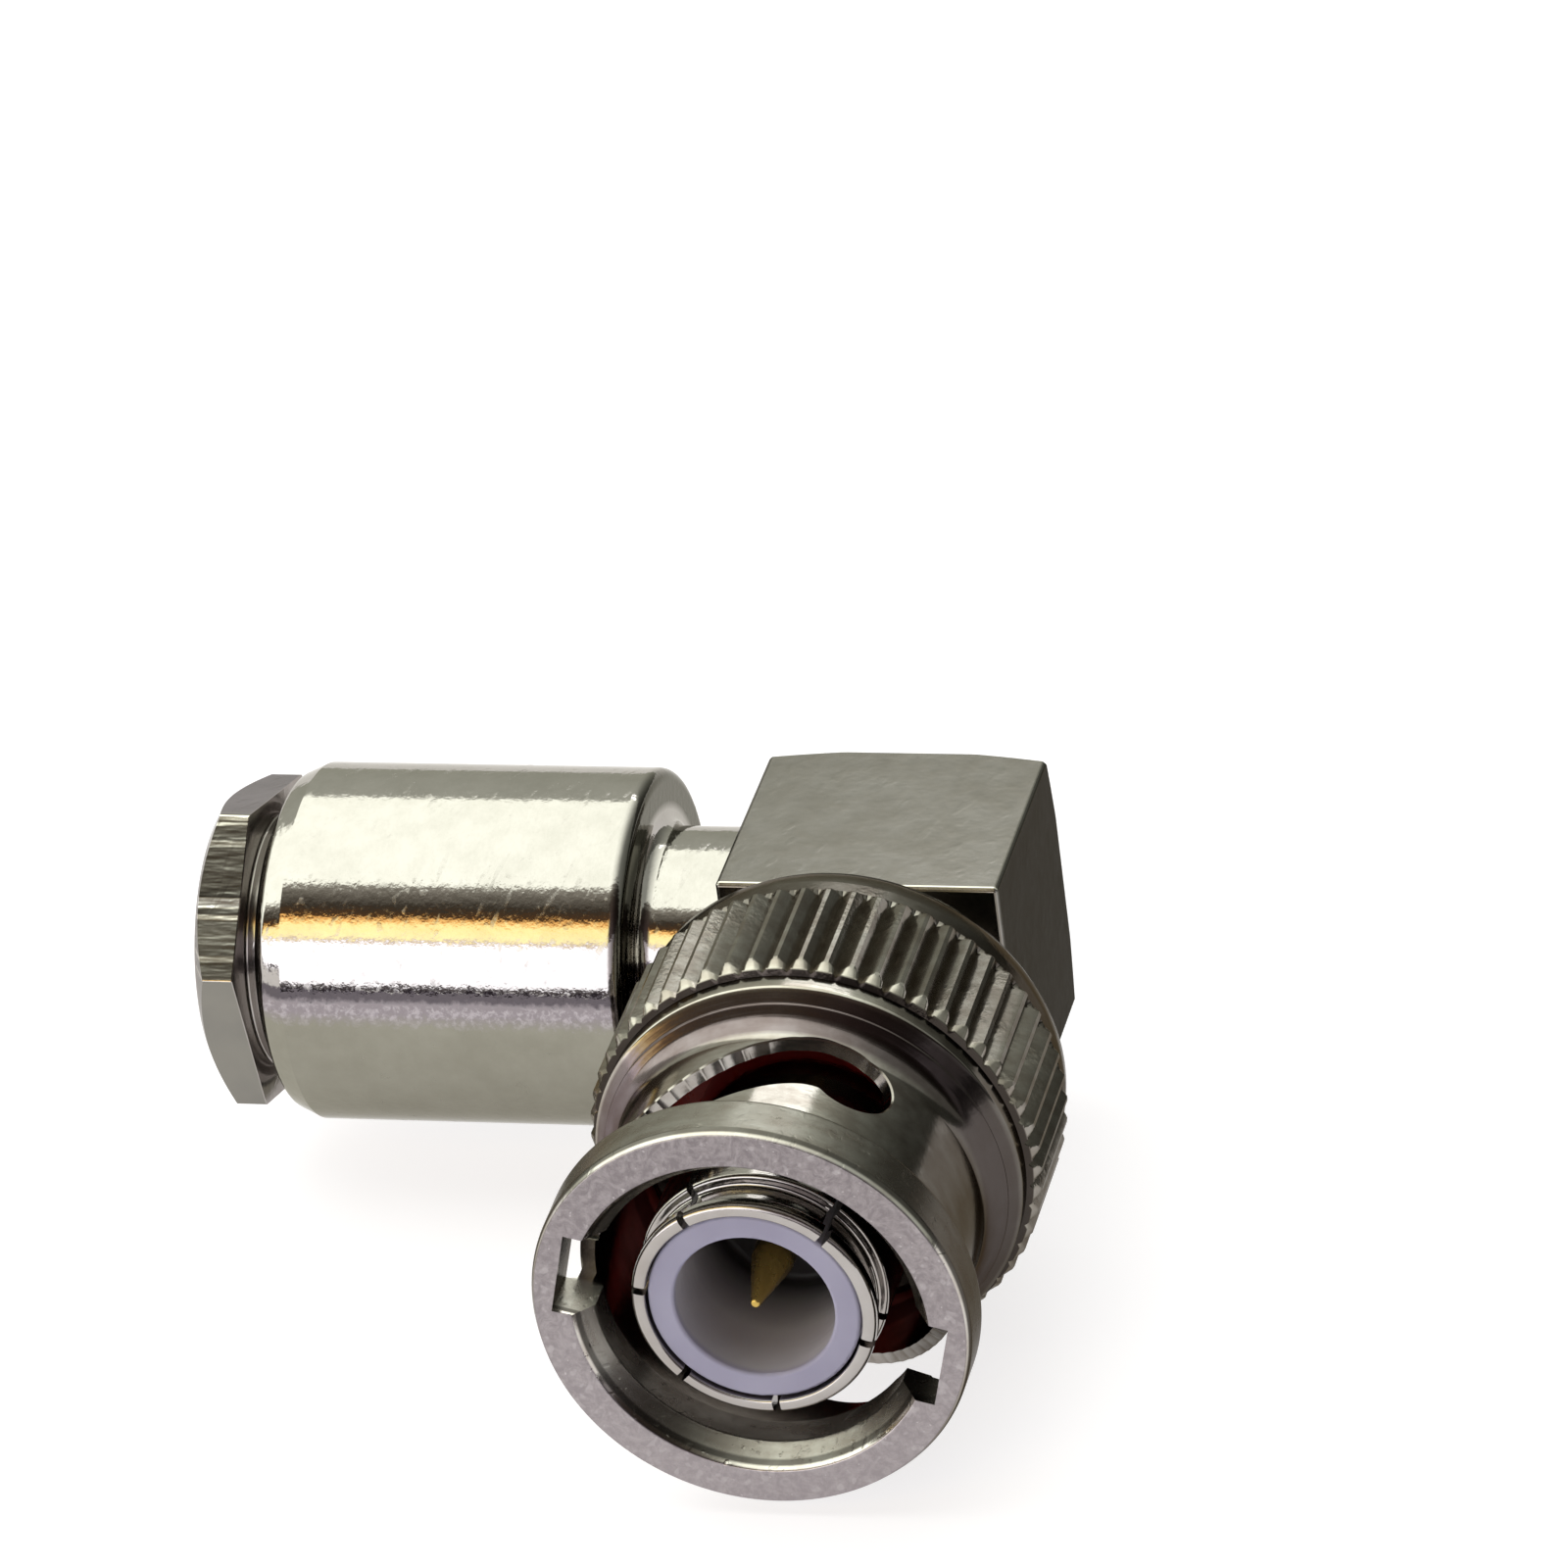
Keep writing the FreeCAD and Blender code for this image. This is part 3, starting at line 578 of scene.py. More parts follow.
def slot_outline(steps=SLOT_STEPS):
    """Points round the slot and its end hole, each with the way out from the slot."""
    line = slot_centre(steps)
    hole = line[-1]
    sides = []
    for side in (1, -1):
        travel = 0
        run = []
        for i, p in enumerate(line):
            tangent = (line[min(i + 1, steps)] - line[max(i - 1, 0)]).normalized()
            out = Vector((-tangent.y, tangent.x)) * side
            travel += (line[i] - line[max(i - 1, 0)]).length
            mark = tooth_mark(travel) if out.y > 0 else 0
            q = p + out * (SLOT_WIDTH / 2 + mark)
            if (q - hole).length > SLOT_HOLE_R + SLOT_HOLE_JOIN:
                run.append((q, out))
        sides.append(run)
    first = sides[0][-1][0] - hole
    last = sides[1][-1][0] - hole
    swing = first.angle_signed(last)
    away = line[-1] - line[-2]
    if first.angle_signed(away) * swing < 0:
        swing -= math.copysign(2 * math.pi, swing)
    arc = []
    for k in range(1, SLOT_HOLE_STEPS):
        out = (Matrix.Rotation(-swing * k / SLOT_HOLE_STEPS, 2) @ first).normalized()
        arc.append((hole + out * SLOT_HOLE_R, out))
    return sides[0] + arc + sides[1][::-1]


def slot_cutter(name, turn):
    """The curved slot with its end hole. Its outer edge has a small bevel."""
    layers = (
        (NUT_BORE_R - SLOT_INNER_SINK, 0), (NECK_R - SLOT_EDGE_BEVEL, 0), (NECK_R, SLOT_EDGE_BEVEL),
        (SLOT_OUTER_R, SLOT_EDGE_BEVEL),
    )
    ring = slot_outline()
    points = []
    for radius, flare in layers:
        for p, out in ring:
            q = p + out * flare
            points.append(on_plug(radius, math.degrees(q.x / NECK_R) + turn, q.y))
    count = len(ring)
    faces = []
    for start in range(0, (len(layers) - 1) * count, count):
        for i in range(count):
            here, after = start + i, start + (i + 1) % count
            faces.append((here, after, after + count, here + count))
    for start in (0, (len(layers) - 1) * count):
        faces += faces_across(start, count)
    return solid_from(name, points, faces)


def faces_across(start, count):
    """Closes a long bent ring with short faces from one side to the other, so it keeps its bend."""
    faces = []
    for i in range((count - 1) // 2):
        j = count - 1 - i
        corners = (i, i + 1, j) if j - 1 == i + 1 else (i, i + 1, j - 1, j)
        faces.append(tuple(start + k for k in corners))
    return faces


def coupling_nut(material):
    """The knurled nut with its two entry notches and two curved slots."""
    nut = turned(
        "coupling_nut_body", nut_outline(), PLUG_AXIS, material, segments=RIDGES * SAMPLES_PER_RIDGE,
        ridge_count=RIDGES, crown_radius=CROWN_R, groove_depth=GROOVE_DEPTH, groove_share=GROOVE_SHARE,
        knurl_start=KNURL_FRONT - KNURL_RUN_IN, knurl_end=KNURL_BACK + KNURL_RUN_OUT,
    )
    radii = (NUT_BORE_R - OVERCUT, NOTCH_R)
    heights = (MOUTH_Y - OVERCUT, NOTCH_END)
    cutters = []
    for turn in (0, 180):
        cutters.append(block_cutter(f"notch_{turn}", NOTCH_ANGLE + turn, radii, heights, NOTCH_WIDTH))
        cutters.append(slot_cutter(f"slot_{turn}", turn))
    return finish_piece(cut(nut, cutters), "coupling_nut", "nut_nickel", "coupling_nut", crease=26)


# Plug face


def outer_contact(material):
    """The plug shell: spring fingers with a bead at their tips, a bearing, and a rear flange."""
    shell = turned("outer_contact", outline([
        (FINGER_BORE_R, TIP_Y, 0.1), (TIP_R, TIP_Y, 0.22), (TIP_R, TIP_Y + BEAD_LENGTH, 0.12),
        (WAIST_R, TIP_Y + BEAD_LENGTH + BEAD_SLOPE), (WAIST_R, WAIST_END, 0.15),
        (CONTACT_R, WAIST_END, 0.12), (CONTACT_R, GASKET_FRONT), (GASKET_SEAT_R, GASKET_FRONT),
        (GASKET_SEAT_R, GASKET_BACK), (BEARING_R, GASKET_BACK, 0.08), (BEARING_R, RING_FRONT),
        (RING_GROOVE_R, RING_FRONT), (RING_GROOVE_R, RING_BACK), (BEARING_R, RING_BACK),
        (BEARING_R, BEARING_END), (SHELL_FLANGE_R, BEARING_END, 0.05), (SHELL_FLANGE_R, BODY_FRONT),
        (SHELL_SEAT_R, BODY_FRONT), (SHELL_SEAT_R, SHELL_BACK), (REAR_BORE_R, SHELL_BACK),
        (REAR_BORE_R, REAR_BORE_FRONT), (FINGER_BORE_R, REAR_BORE_FRONT),
    ]), PLUG_AXIS, material, segments=216)
    radii = (FINGER_BORE_R - OVERCUT / 2, CONTACT_R + OVERCUT / 2)
    heights = (TIP_Y - OVERCUT, SAW_END)
    saws = [block_cutter(f"saw_{angle}", angle, radii, heights, SAW_WIDTH) for angle in SAW_ANGLES]
    return finish_piece(cut(shell, saws), "plug_body", "contact_nickel", "plug_shell")


# Clamp barrel and clamp nut


def clamp_barrel(material):
    """The round barrel with its threaded bore and the neck that is pressed into the block."""
    wall = [
        (RECESS_R, BARREL_OUTER_END, 0.05), (BARREL_RIM_R, BARREL_OUTER_END, 0.06),
        (BARREL_BEVEL_R, BARREL_BEVEL_MIDDLE, 0.35), (BARREL_R, BARREL_BEVEL_START, 0.03),
        (BARREL_R, BARREL_INNER_END, BARREL_EDGE_ROUND), (NECK_TUBE_R, BARREL_INNER_END, NECK_ROOT_ROUND),
        (NECK_TUBE_R, BODY_SIDE_X), (SPIGOT_R, BODY_SIDE_X), (SPIGOT_R, SPIGOT_END),
        (NECK_TUBE_BORE_R, SPIGOT_END), (NECK_TUBE_BORE_R, THREAD_BORE_END),
        (THREAD_BORE_R, THREAD_BORE_END), (THREAD_BORE_R, RECESS_FLOOR), (RECESS_R, RECESS_FLOOR),
    ]
    points = with_rows(outline(wall), RECESS_FLOOR, THREAD_BORE_END, THREAD_PITCH / 6)
    barrel = turned(
        "clamp_barrel_body", points, CABLE_AXIS, material, segments=240, thread_pitch=THREAD_PITCH,
        thread_depth=-BARREL_THREAD_DEPTH, thread_start=BARREL_THREAD[0], thread_end=BARREL_THREAD[1],
    )
    return finish_piece(barrel, "plug_body", "barrel_nickel", "clamp_barrel")


def hexagon_sleeve():
    """Everything outside a hexagon with slightly rounded corners, to cut the flats."""
    inner = []
    for i in range(6):
        angles = [math.radians(HEX_CORNER_ANGLE + 60 * (i + k)) for k in (-1, 0, 1)]
        places = [Vector((math.cos(angle), math.sin(angle))) * HEX_CORNER_R for angle in angles]
        inner += corner_arc(*places, HEX_CORNER_ROUND)
    count = len(inner)
    outer = [p.normalized() * (HEX_CORNER_R + OVERCUT) for p in inner]
    points = []
    for x in (HEX_OUTER_END - OVERCUT, HEX_BACK + HEX_SLEEVE_OVERRUN):
        for ring in (inner, outer):
            points += [(x, p.x, p.y + AXIS_HEIGHT) for p in ring]
    faces = []
    for i in range(count):
        j = (i + 1) % count
        faces.append((i, j, count + j, count + i))
        faces.append((2 * count + i, 3 * count + i, 3 * count + j, 2 * count + j))
        faces.append((i, 2 * count + i, 2 * count + j, j))
        faces.append((count + i, count + j, 3 * count + j, 3 * count + i))
    return solid_from("hexagon_sleeve", points, faces)


def clamp_nut(material):
    """The hexagonal nut with its cable bore, groove, collar and threaded shank."""
    hexagon_r = HEX_CORNER_R + HEX_BLANK_MARGIN
    chamfer = (HEX_CORNER_R - NUT_FACE_R) * math.tan(math.radians(HEX_CHAMFER_ANGLE))
    shank_end = THREAD_BACK + THREAD_CHAMFER
    wall = [
        (CABLE_BORE_R + CABLE_MOUTH_BEVEL, HEX_OUTER_END, 0.04), (NUT_FACE_R, HEX_OUTER_END, 0.05),
        (hexagon_r, HEX_OUTER_END + chamfer), (hexagon_r, HEX_BACK, 0.05), (GROOVE_R, HEX_BACK, 0.08),
        (GROOVE_R, GROOVE_END, 0.08), (SHANK_COLLAR_R - SHANK_COLLAR_BEVEL, GROOVE_END),
        (SHANK_COLLAR_R, GROOVE_END + SHANK_COLLAR_BEVEL), (SHANK_COLLAR_R, SHANK_COLLAR_END),
        (THREAD_ROOT_R, SHANK_COLLAR_END), (THREAD_ROOT_R, THREAD_FRONT - THREAD_CHAMFER),
        (THREAD_R, THREAD_FRONT), (THREAD_R, THREAD_BACK), (THREAD_ROOT_R, shank_end),
        (CABLE_BORE_R, shank_end), (CABLE_BORE_R, HEX_OUTER_END + CABLE_MOUTH_BEVEL),
    ]
    points = with_rows(outline(wall), THREAD_FRONT, THREAD_BACK, THREAD_PITCH / 8)
    nut = turned(
        "clamp_nut_body", points, CABLE_AXIS, material, segments=240, thread_pitch=THREAD_PITCH,
        thread_depth=NUT_THREAD_DEPTH, thread_start=NUT_THREAD[0], thread_end=NUT_THREAD[1],
    )
    return finish_piece(cut(nut, [hexagon_sleeve()]), "clamp_nut", "clamp_nickel", "clamp_nut", crease=7)


# Copies of CAD nodes: wave washers, and the body and cap with their edges broken


def copy_of(node, name, material):
    """A copy of a CAD node in one closed mesh."""
    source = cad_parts[node].data
    points = [v.co[:] for v in source.vertices]
    piece = piece_from(name, points, [], [p.vertices[:] for p in source.polygons])
    piece.data.materials.append(material)
    return face_outwards(piece, MERGE_DISTANCE)


def wave_washer(node, material):
    """A copy of a wave washer, with a mesh of its own. The real washer flattens against the retaining ring
    as the nut is pulled; the copy does not.
    """
    piece = finish_piece(copy_of(node, node + "_spring", material), "plug_body", "spring_steel", node)
    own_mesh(piece)


# Faces that meet at less than the first angle are one flat, and edges above the second are bevelled
FLAT_ANGLE = 0.5
SHARP_ANGLE = 28


def softened(node, body, slot, width, segments, material, crease):
    """A copy of a CAD node with its sharp edges slightly rounded."""
    piece = copy_of(node, node + "_softened", material)
    work = bmesh.new()
    work.from_mesh(piece.data)
    flat = math.radians(FLAT_ANGLE)
    bmesh.ops.dissolve_limit(work, angle_limit=flat, verts=work.verts, edges=work.edges)
    work.to_mesh(piece.data)
    work.free()
    bevel = piece.modifiers.new("edges", "BEVEL")
    bevel.width = width * MM
    bevel.segments = segments
    bevel.limit_method = "ANGLE"
    bevel.angle_limit = math.radians(SHARP_ANGLE)
    bevel.use_clamp_overlap = True
    return finish_piece(plain_mesh(piece), body, slot, node, crease=crease)


# Materials


class Paint(NodeMaker):
    """One material on a Principled shader. Its patterns read the place on the piece. The tint is
    the colour of what it mirrors at a low angle."""

    def __init__(self, name, colour, metallic, roughness, tint=(1, 1, 1)):
        self.material = bpy.data.materials.new(name)
        self.material.use_nodes = True
        super().__init__(self.material.node_tree)
        self.shader = self.tree.nodes["Principled BSDF"]
        self.fill(self.shader, Metallic=metallic, Roughness=roughness)
        self.fill(self.shader, Base_Color=(*colour, 1), Specular_Tint=(*tint, 1))
        self.normal = None
        self.place = self.node("ShaderNodeTexCoord").outputs["Object"]

    def axes(self):
        """The place's x, y and z."""
        return self.node("ShaderNodeSeparateXYZ", Vector=self.place).outputs

    def noise(self, scale, detail=3.0, roughness=0.55, at=None):
        place = self.place if at is None else at
        return self.node(
            "ShaderNodeTexNoise", Vector=place, Scale=scale, Detail=detail, Roughness=roughness
        ).outputs["Fac"]

    def rise(self, value, start, end, most=1):
        """0 up to the start and most from the end on, both in millimetres."""
        return self.spread(value, start * MM, end * MM, 0, most)

    def fall(self, value, start, end):
        """1 up to the start and 0 from the end on, both in millimetres."""
        return self.spread(value, start * MM, end * MM, 1, 0)

    def blend(self, pattern, low, high, first, second):
        """The first colour where a pattern is below low, and the second above high."""
        return self.mix(self.spread(pattern, low, high), first, second)

    def shaken(self, value, pattern, reach):
        """A value moved to and fro by a pattern, over a reach in metres."""
        return self.plus(value, self.times(self.minus(pattern, 0.5), reach))

    def multiply(self, colour, by):
        made = self.node("ShaderNodeVectorMath")
        made.operation = "MULTIPLY"
        self.feed(made.inputs[0], colour)
        made.inputs[1].default_value = by
        return made.outputs[0]

    def scratches(self, scale, stretch):
        """Thin short scratches in two slanting directions: 1 in a scratch, 0 beside it."""
        total = None
        for slant in (0.6, -0.9):
            slanted = self.node("ShaderNodeMapping", Vector=self.place, Rotation=(slant, slant * 0.7, 0.4))
            long = self.node("ShaderNodeMapping", Vector=slanted.outputs[0], Scale=(1, 6 / stretch, 1))
            lines = self.spread(self.noise(scale, 1.0, at=long.outputs[0]), 0.66, 0.72)
            total = lines if total is None else self.math("MAXIMUM", total, lines)
        return total

    def colour(self, what):
        self.feed(self.shader.inputs["Base Color"], what)

    def roughness(self, what):
        self.feed(self.shader.inputs["Roughness"], what)

    def relief(self, height, millimetres):
        """Adds a bump, its height given for a pattern that runs from 0 to 1."""
        bump = self.node("ShaderNodeBump", Height=height, Distance=millimetres * MM, Strength=1.0)
        if self.normal is not None:
            self.feed(bump.inputs["Normal"], self.normal)
        self.normal = bump.outputs[0]
        self.feed(self.shader.inputs["Normal"], self.normal)

    def round_axis(self, along):
        """Radius, height along the axis and angle in turns, for the plug axis Y or the cable axis X."""
        centred = self.node("ShaderNodeMapping", Vector=self.place, Location=(0, 0, -AXIS_HEIGHT * MM))
        x, y, z = self.node("ShaderNodeSeparateXYZ", Vector=centred.outputs[0]).outputs
        side, height = (x, y) if along == "Y" else (y, x)
        radius, turns = self.round_centre(side, z)
        return radius, height, turns

    def rings(self, along, stretch, scale, detail, roughness=0.55):
        """A pattern that runs round the axis as a lathe tool's marks do."""
        radius, height, turns = self.round_axis(along)
        place = self.node("ShaderNodeCombineXYZ", X=radius, Y=height, Z=self.times(turns, stretch))
        return self.noise(scale, detail, roughness, place.outputs[0])


NICKEL = (0.41, 0.39, 0.375)
NICKEL_STAIN = (0.34, 0.315, 0.295)
BARREL_STAIN = (0.37, 0.352, 0.335)
DULL_NICKEL = (0.3, 0.287, 0.27)
DULL_STAIN = (0.25, 0.236, 0.215)
INNER_END_DARK = (0.07, 0.067, 0.055)

# Heights over which the barrel's painted reflection bands change, from its underside up
OLIVE_TO_MAUVE = (5.2, 5.7)
MAUVE_TO_DARK = (6.02, 6.22)
DARK_TO_PLAIN = (6.48, 6.58)


def polished_nickel(name):
    """Bright nickel plate on the barrel: stains, a peened unevenness and short scratches. From a little
    above its axis down it is painted with reflections by height: a painted dark band, then mauve, then
    olive towards the underside. Its inner end face is painted much darker."""
    paint = Paint(name, NICKEL, 1.0, 0.06, (0.75, 0.74, 0.7))
    cloud = paint.noise(900, 5.0, 0.65)
    grain = paint.noise(3900, 4.0, 0.7)
    level = paint.shaken(paint.axes()["Z"], grain, 0.0007)
    plain = paint.blend(cloud, 0.38, 0.66, NICKEL, BARREL_STAIN)
    # Painted reflections by height: a mauve speckle, a painted dark band above it, and olive below
    mauve = paint.blend(grain, 0.47, 0.6, (0.25, 0.223, 0.237), (0.37, 0.34, 0.355))
    olive = paint.blend(cloud, 0.35, 0.65, (0.265, 0.257, 0.213), (0.24, 0.232, 0.19))
    shadow = paint.mix(paint.rise(level, *MAUVE_TO_DARK), mauve, (0.1, 0.088, 0.098))
    under = paint.mix(paint.rise(level, *OLIVE_TO_MAUVE), olive, shadow)
    sides = paint.mix(paint.rise(level, *DARK_TO_PLAIN), under, plain)
    radius, height = paint.round_axis("X")[:2]
    # The inner end face is painted much darker
    end_face = paint.times(paint.rise(height, -8.1, -7.8), paint.rise(radius, 4.6, 4.9))
    paint.colour(paint.mix(end_face, sides, INNER_END_DARK))
    scratches = paint.scratches(2900, 40)
    fine = paint.spread(paint.noise(7000, 2.0), 0.52, 0.66, 0, 0.1)
    paint.roughness(paint.plus(fine, paint.plus(paint.times(scratches, 0.15), 0.045)))
    paint.relief(paint.noise(3900, 2.5, 0.6), 0.0058)
    paint.relief(paint.noise(800, 2.0), 0.002)
    paint.relief(scratches, 0.001)
    paint.relief(paint.rings("X", 0.003, 8000, 1.0), 0.0009)
    return paint.material


def turned_nickel(name, along, roughness, marks):
    """Nickel plate over a turned surface: fine rings, faint stains and a few pits."""
    paint = Paint(name, NICKEL, 1.0, roughness)
    cloud = paint.noise(420, 4.0)
    paint.colour(paint.blend(cloud, 0.35, 0.7, NICKEL, NICKEL_STAIN))
    paint.roughness(paint.spread(cloud, 0.3, 0.7, roughness * 0.8, roughness * 1.25))
    paint.relief(paint.rings(along, 0.004, 9000, 2.0), marks)
    paint.relief(paint.noise(3200, 2.0), marks * 1.2)
    paint.relief(paint.scratches(2400, 55), 0.0012)
    return paint.material


def coupling_nut_nickel():
    """The nut's colour and finish change along it: matt mouth, satin flange, bright neck, dull knurl, with
    painted highlights and painted shade in bands along it and painted shade on its right side.
    """
    paint = Paint("coupling nut nickel", NICKEL, 1.0, 0.2, (0.4, 0.38, 0.35))
    height = paint.round_axis("Y")[1]
    length = paint.rise(height, MOUTH_Y, NUT_BACK)
    # The base colours along the nut hold painted highlights and painted shade as well as its own tones
    rows = [(y, colour, (rough,) * 3, (rings,) * 3) for y, colour, rough, rings in NUT_TONES_AND_PAINTED_LIGHT]
    base, rough, depth = (
        paint.ramp(length, [(row[0], row[i]) for row in rows], MOUTH_Y, NUT_BACK) for i in (1, 2, 3)
    )
    cloud = paint.noise(1100, 4.0, 0.6)
    streaks = paint.rings("Y", 0.012, 2200, 3.0)
    shade = paint.plus(paint.times(cloud, 0.5), paint.times(streaks, 0.5))
    wear_and_painted_light = paint.blend(shade, 0.38, 0.6, base, paint.multiply(base, (0.76, 0.72, 0.7)))
    axes = paint.axes()
    wear_and_painted_light = paint.mix(paint.fall(height, *MOUTH_FACE_END), wear_and_painted_light, mouth_face(paint, axes["Z"]))
    shaded = paint.ramp(length, [(y, (share,) * 3) for y, share in RIGHT_SHADE], MOUTH_Y, NUT_BACK)
    warped = paint.plus(axes["X"], paint.times(cloud, 0.002))
    # Painted shade on the right side of the nut
    right = paint.times(paint.rise(warped, 3.2, 6.2), shaded)
    paint.colour(paint.mix(right, wear_and_painted_light, (0.055, 0.048, 0.042)))
    paint.roughness(paint.plus(rough, paint.times(shade, 0.06)))
    rings = paint.rings("Y", 0.002, 5000, 2.5, 0.6)
    paint.relief(paint.times(rings, depth), 0.03)
    on_knurl = paint.rise(height, KNURL_FRONT - 0.1, KNURL_FRONT)
    on_flange = paint.fall(height, FLANGE_BACK - 0.05, FLANGE_BACK)
    patches = paint.spread(paint.noise(420, 1.0), 0.5, 0.58, 0.1, 1)
    hammered = paint.times(paint.noise(5600, 2.0), paint.times(on_knurl, patches))
    paint.relief(hammered, 0.012)
    nicks = paint.spread(paint.noise(2900, 3.0), 0.62, 0.72)
    paint.relief(paint.times(nicks, on_flange), -0.006)
    paint.relief(paint.times(paint.scratches(2300, 35), on_flange), 0.003)
    paint.relief(paint.noise(2400, 2.0), 0.003)
    return paint.material


def mouth_face(paint, z):
    """Colour of the nut's front face: a mottled mauve with light nicks, and painted light that makes it
    paler towards the bottom.
    """
    swirl = paint.noise(620, 2.0)
    bent = paint.node("ShaderNodeVectorMath", Vector=paint.place)
    bent.operation = "SCALE"
    paint.feed(bent.inputs["Scale"], paint.plus(1.0, paint.times(swirl, 0.2)))
    mottle = paint.noise(2600, 6.0, 0.75, at=bent.outputs[0])
    face = paint.blend(mottle, 0.4, 0.62, (0.2, 0.177, 0.185), (0.3, 0.272, 0.278))
    dots = paint.spread(paint.noise(6000, 1.0), 0.73, 0.77)
    marks = paint.math("MAXIMUM", paint.times(paint.scratches(2600, 60), 0.5), dots)
    face = paint.mix(paint.times(marks, 0.6), face, (0.5, 0.47, 0.475))
    # Painted light: the face grows paler towards its bottom
    return paint.mix(paint.spread(z, -1.5 * MM, 11 * MM, 0.3, 0), face, (0.5, 0.46, 0.47))


# Position along the plug axis, colour, roughness and how deep the turning rings are. The colours hold
# painted highlights (mouth bevel, lip, ridge ends) and painted shade (a line behind the mouth bevel, the
# cove, the tooth fronts).
NUT_TONES_AND_PAINTED_LIGHT = (
    (-21.285, (0.3, 0.275, 0.28), 0.3, 0.1), (-21.27, (0.62, 0.6, 0.56), 0.08, 0.0),
    (-21.15, (0.6, 0.58, 0.54), 0.08, 0.0), (-21.12, (0.12, 0.115, 0.105), 0.2, 0.0),
    (-20.975, (0.12, 0.115, 0.105), 0.22, 0.05), (-20.95, (0.32, 0.31, 0.285), 0.24, 0.05),
    (-19.45, (0.3, 0.29, 0.265), 0.24, 0.05), (-19.3, (0.42, 0.41, 0.375), 0.1, 0.02),
    (-14.6, (0.42, 0.4, 0.375), 0.1, 0.03), (-14.25, (0.4, 0.38, 0.36), 0.1, 0.08),
    (-14.05, (0.2, 0.172, 0.178), 0.11, 0.14), (-13.4, (0.17, 0.143, 0.148), 0.12, 0.14),
    (-13.02, (0.19, 0.165, 0.16), 0.12, 0.1), (-12.97, (0.5, 0.48, 0.44), 0.08, 0.06),
    (-12.8, (0.46, 0.44, 0.4), 0.1, 0.05), (-12.4, (0.3, 0.285, 0.26), 0.13, 0.02),
    (-12.31, (0.04, 0.034, 0.03), 0.12, 0.0), (-12.22, (0.05, 0.042, 0.036), 0.12, 0.0),
    (-12.18, (0.42, 0.4, 0.36), 0.12, 0.0), (-11.95, (0.38, 0.36, 0.325), 0.14, 0.0),
    (-11.85, (0.26, 0.248, 0.226), 0.16, 0.0),
    (-7.7, (0.26, 0.248, 0.226), 0.16, 0.0), (-7.5, (0.16, 0.15, 0.137), 0.16, 0.04),
    (NUT_BACK, (0.2, 0.19, 0.17), 0.16, 0.04),
)
# How far painted shade darkens the colour on the right side, along the nut
RIGHT_SHADE = (
    (-21.2, 0.0), (-21.0, 0.75), (-19.4, 0.75), (-18.5, 0.82), (-12.6, 0.8), (-12.2, 0.35),
    (-7.8, 0.35), (-7.6, 0.8),
)
# Where the front face's own colour ends, behind the mouth
MOUTH_FACE_END = (-21.27, -21.22)

# Height on the clamp nut's front flat, and how light it is painted there: lines of painted highlight and
# painted shade that stand for its milled steps
STEP_HIGHLIGHT_LINES = (
    (6.5, 0.2), (6.56, 0.42), (6.63, 0.19), (6.97, 0.16), (7.03, 0.42), (7.1, 0.4), (7.16, 0.15),
    (7.6, 0.2), (7.93, 0.17), (7.97, 0.6), (8.05, 0.6), (8.09, 0.13), (8.2, 0.12), (8.24, 0.95),
    (8.44, 0.95), (8.48, 0.1), (8.8, 0.19), (9.2, 0.16), (9.66, 0.19), (9.7, 0.42), (9.77, 0.4),
    (9.82, 0.15), (10.12, 0.2), (10.16, 0.42), (10.22, 0.42), (10.25, 0.2), (10.29, 0.75), (10.4, 0.75),
)
STEP_HIGHLIGHT_TINT = (1.35, 1.3, 1.17)
# Between which angles round the cable axis the front flat lies, in turns
FRONT_FLAT_START = (0.2828, 0.2836)
FRONT_FLAT_END = (0.4496, 0.4504)


def hexagon_nickel():
    """Nickel over hexagon bar. The front flat is painted in light and dark lines, painted highlights and
    painted shade of milled steps, with dents along it; the flats facing up and back are painted darker as
    painted shade.
    """
    paint = Paint("clamp nut nickel", DULL_NICKEL, 1.0, 0.16, (0.6, 0.58, 0.57))
    radius, length, turns = paint.round_axis("X")
    cloud = paint.noise(500, 4.0)
    stretched = paint.node("ShaderNodeMapping", Vector=paint.place, Scale=(0.2, 1, 1)).outputs[0]
    dents = paint.noise(1300, 3.0, 0.6, at=stretched)
    on_flats = paint.times(paint.fall(length, -21.2, HEX_BACK), paint.rise(radius, 4.85, 4.95))
    front = paint.times(paint.spread(turns, *FRONT_FLAT_START), paint.spread(turns, *FRONT_FLAT_END, 1, 0))
    bottom, top = STEP_HIGHLIGHT_LINES[0][0], STEP_HIGHLIGHT_LINES[-1][0]
    height = paint.rise(paint.shaken(paint.axes()["Z"], dents, 0.00012), bottom, top)
    tones = [(z, tuple(tone * part for part in STEP_HIGHLIGHT_TINT)) for z, tone in STEP_HIGHLIGHT_LINES]
    # Painted highlights and painted shade in lines along the front flat
    steps = paint.ramp(height, tones, bottom, top)
    plain = paint.blend(cloud, 0.35, 0.7, NICKEL, NICKEL_STAIN)
    flat = paint.blend(cloud, 0.35, 0.7, (0.205, 0.198, 0.18), (0.235, 0.226, 0.2))
    # Painted shade: the flats facing up and back get a darker grey
    flat = paint.blend(paint.math("ABSOLUTE", turns), 0.27, 0.285, (0.18, 0.173, 0.175), flat)
    paint.colour(paint.mix(on_flats, plain, paint.mix(front, flat, steps)))
    paint.roughness(paint.spread(cloud, 0.35, 0.65, 0.12, 0.2))
    paint.relief(paint.times(paint.times(front, on_flats), dents), 0.04)
    paint.relief(paint.noise(2600, 2.0), 0.003)
    paint.relief(paint.scratches(2200, 40), 0.0015)
    return paint.material


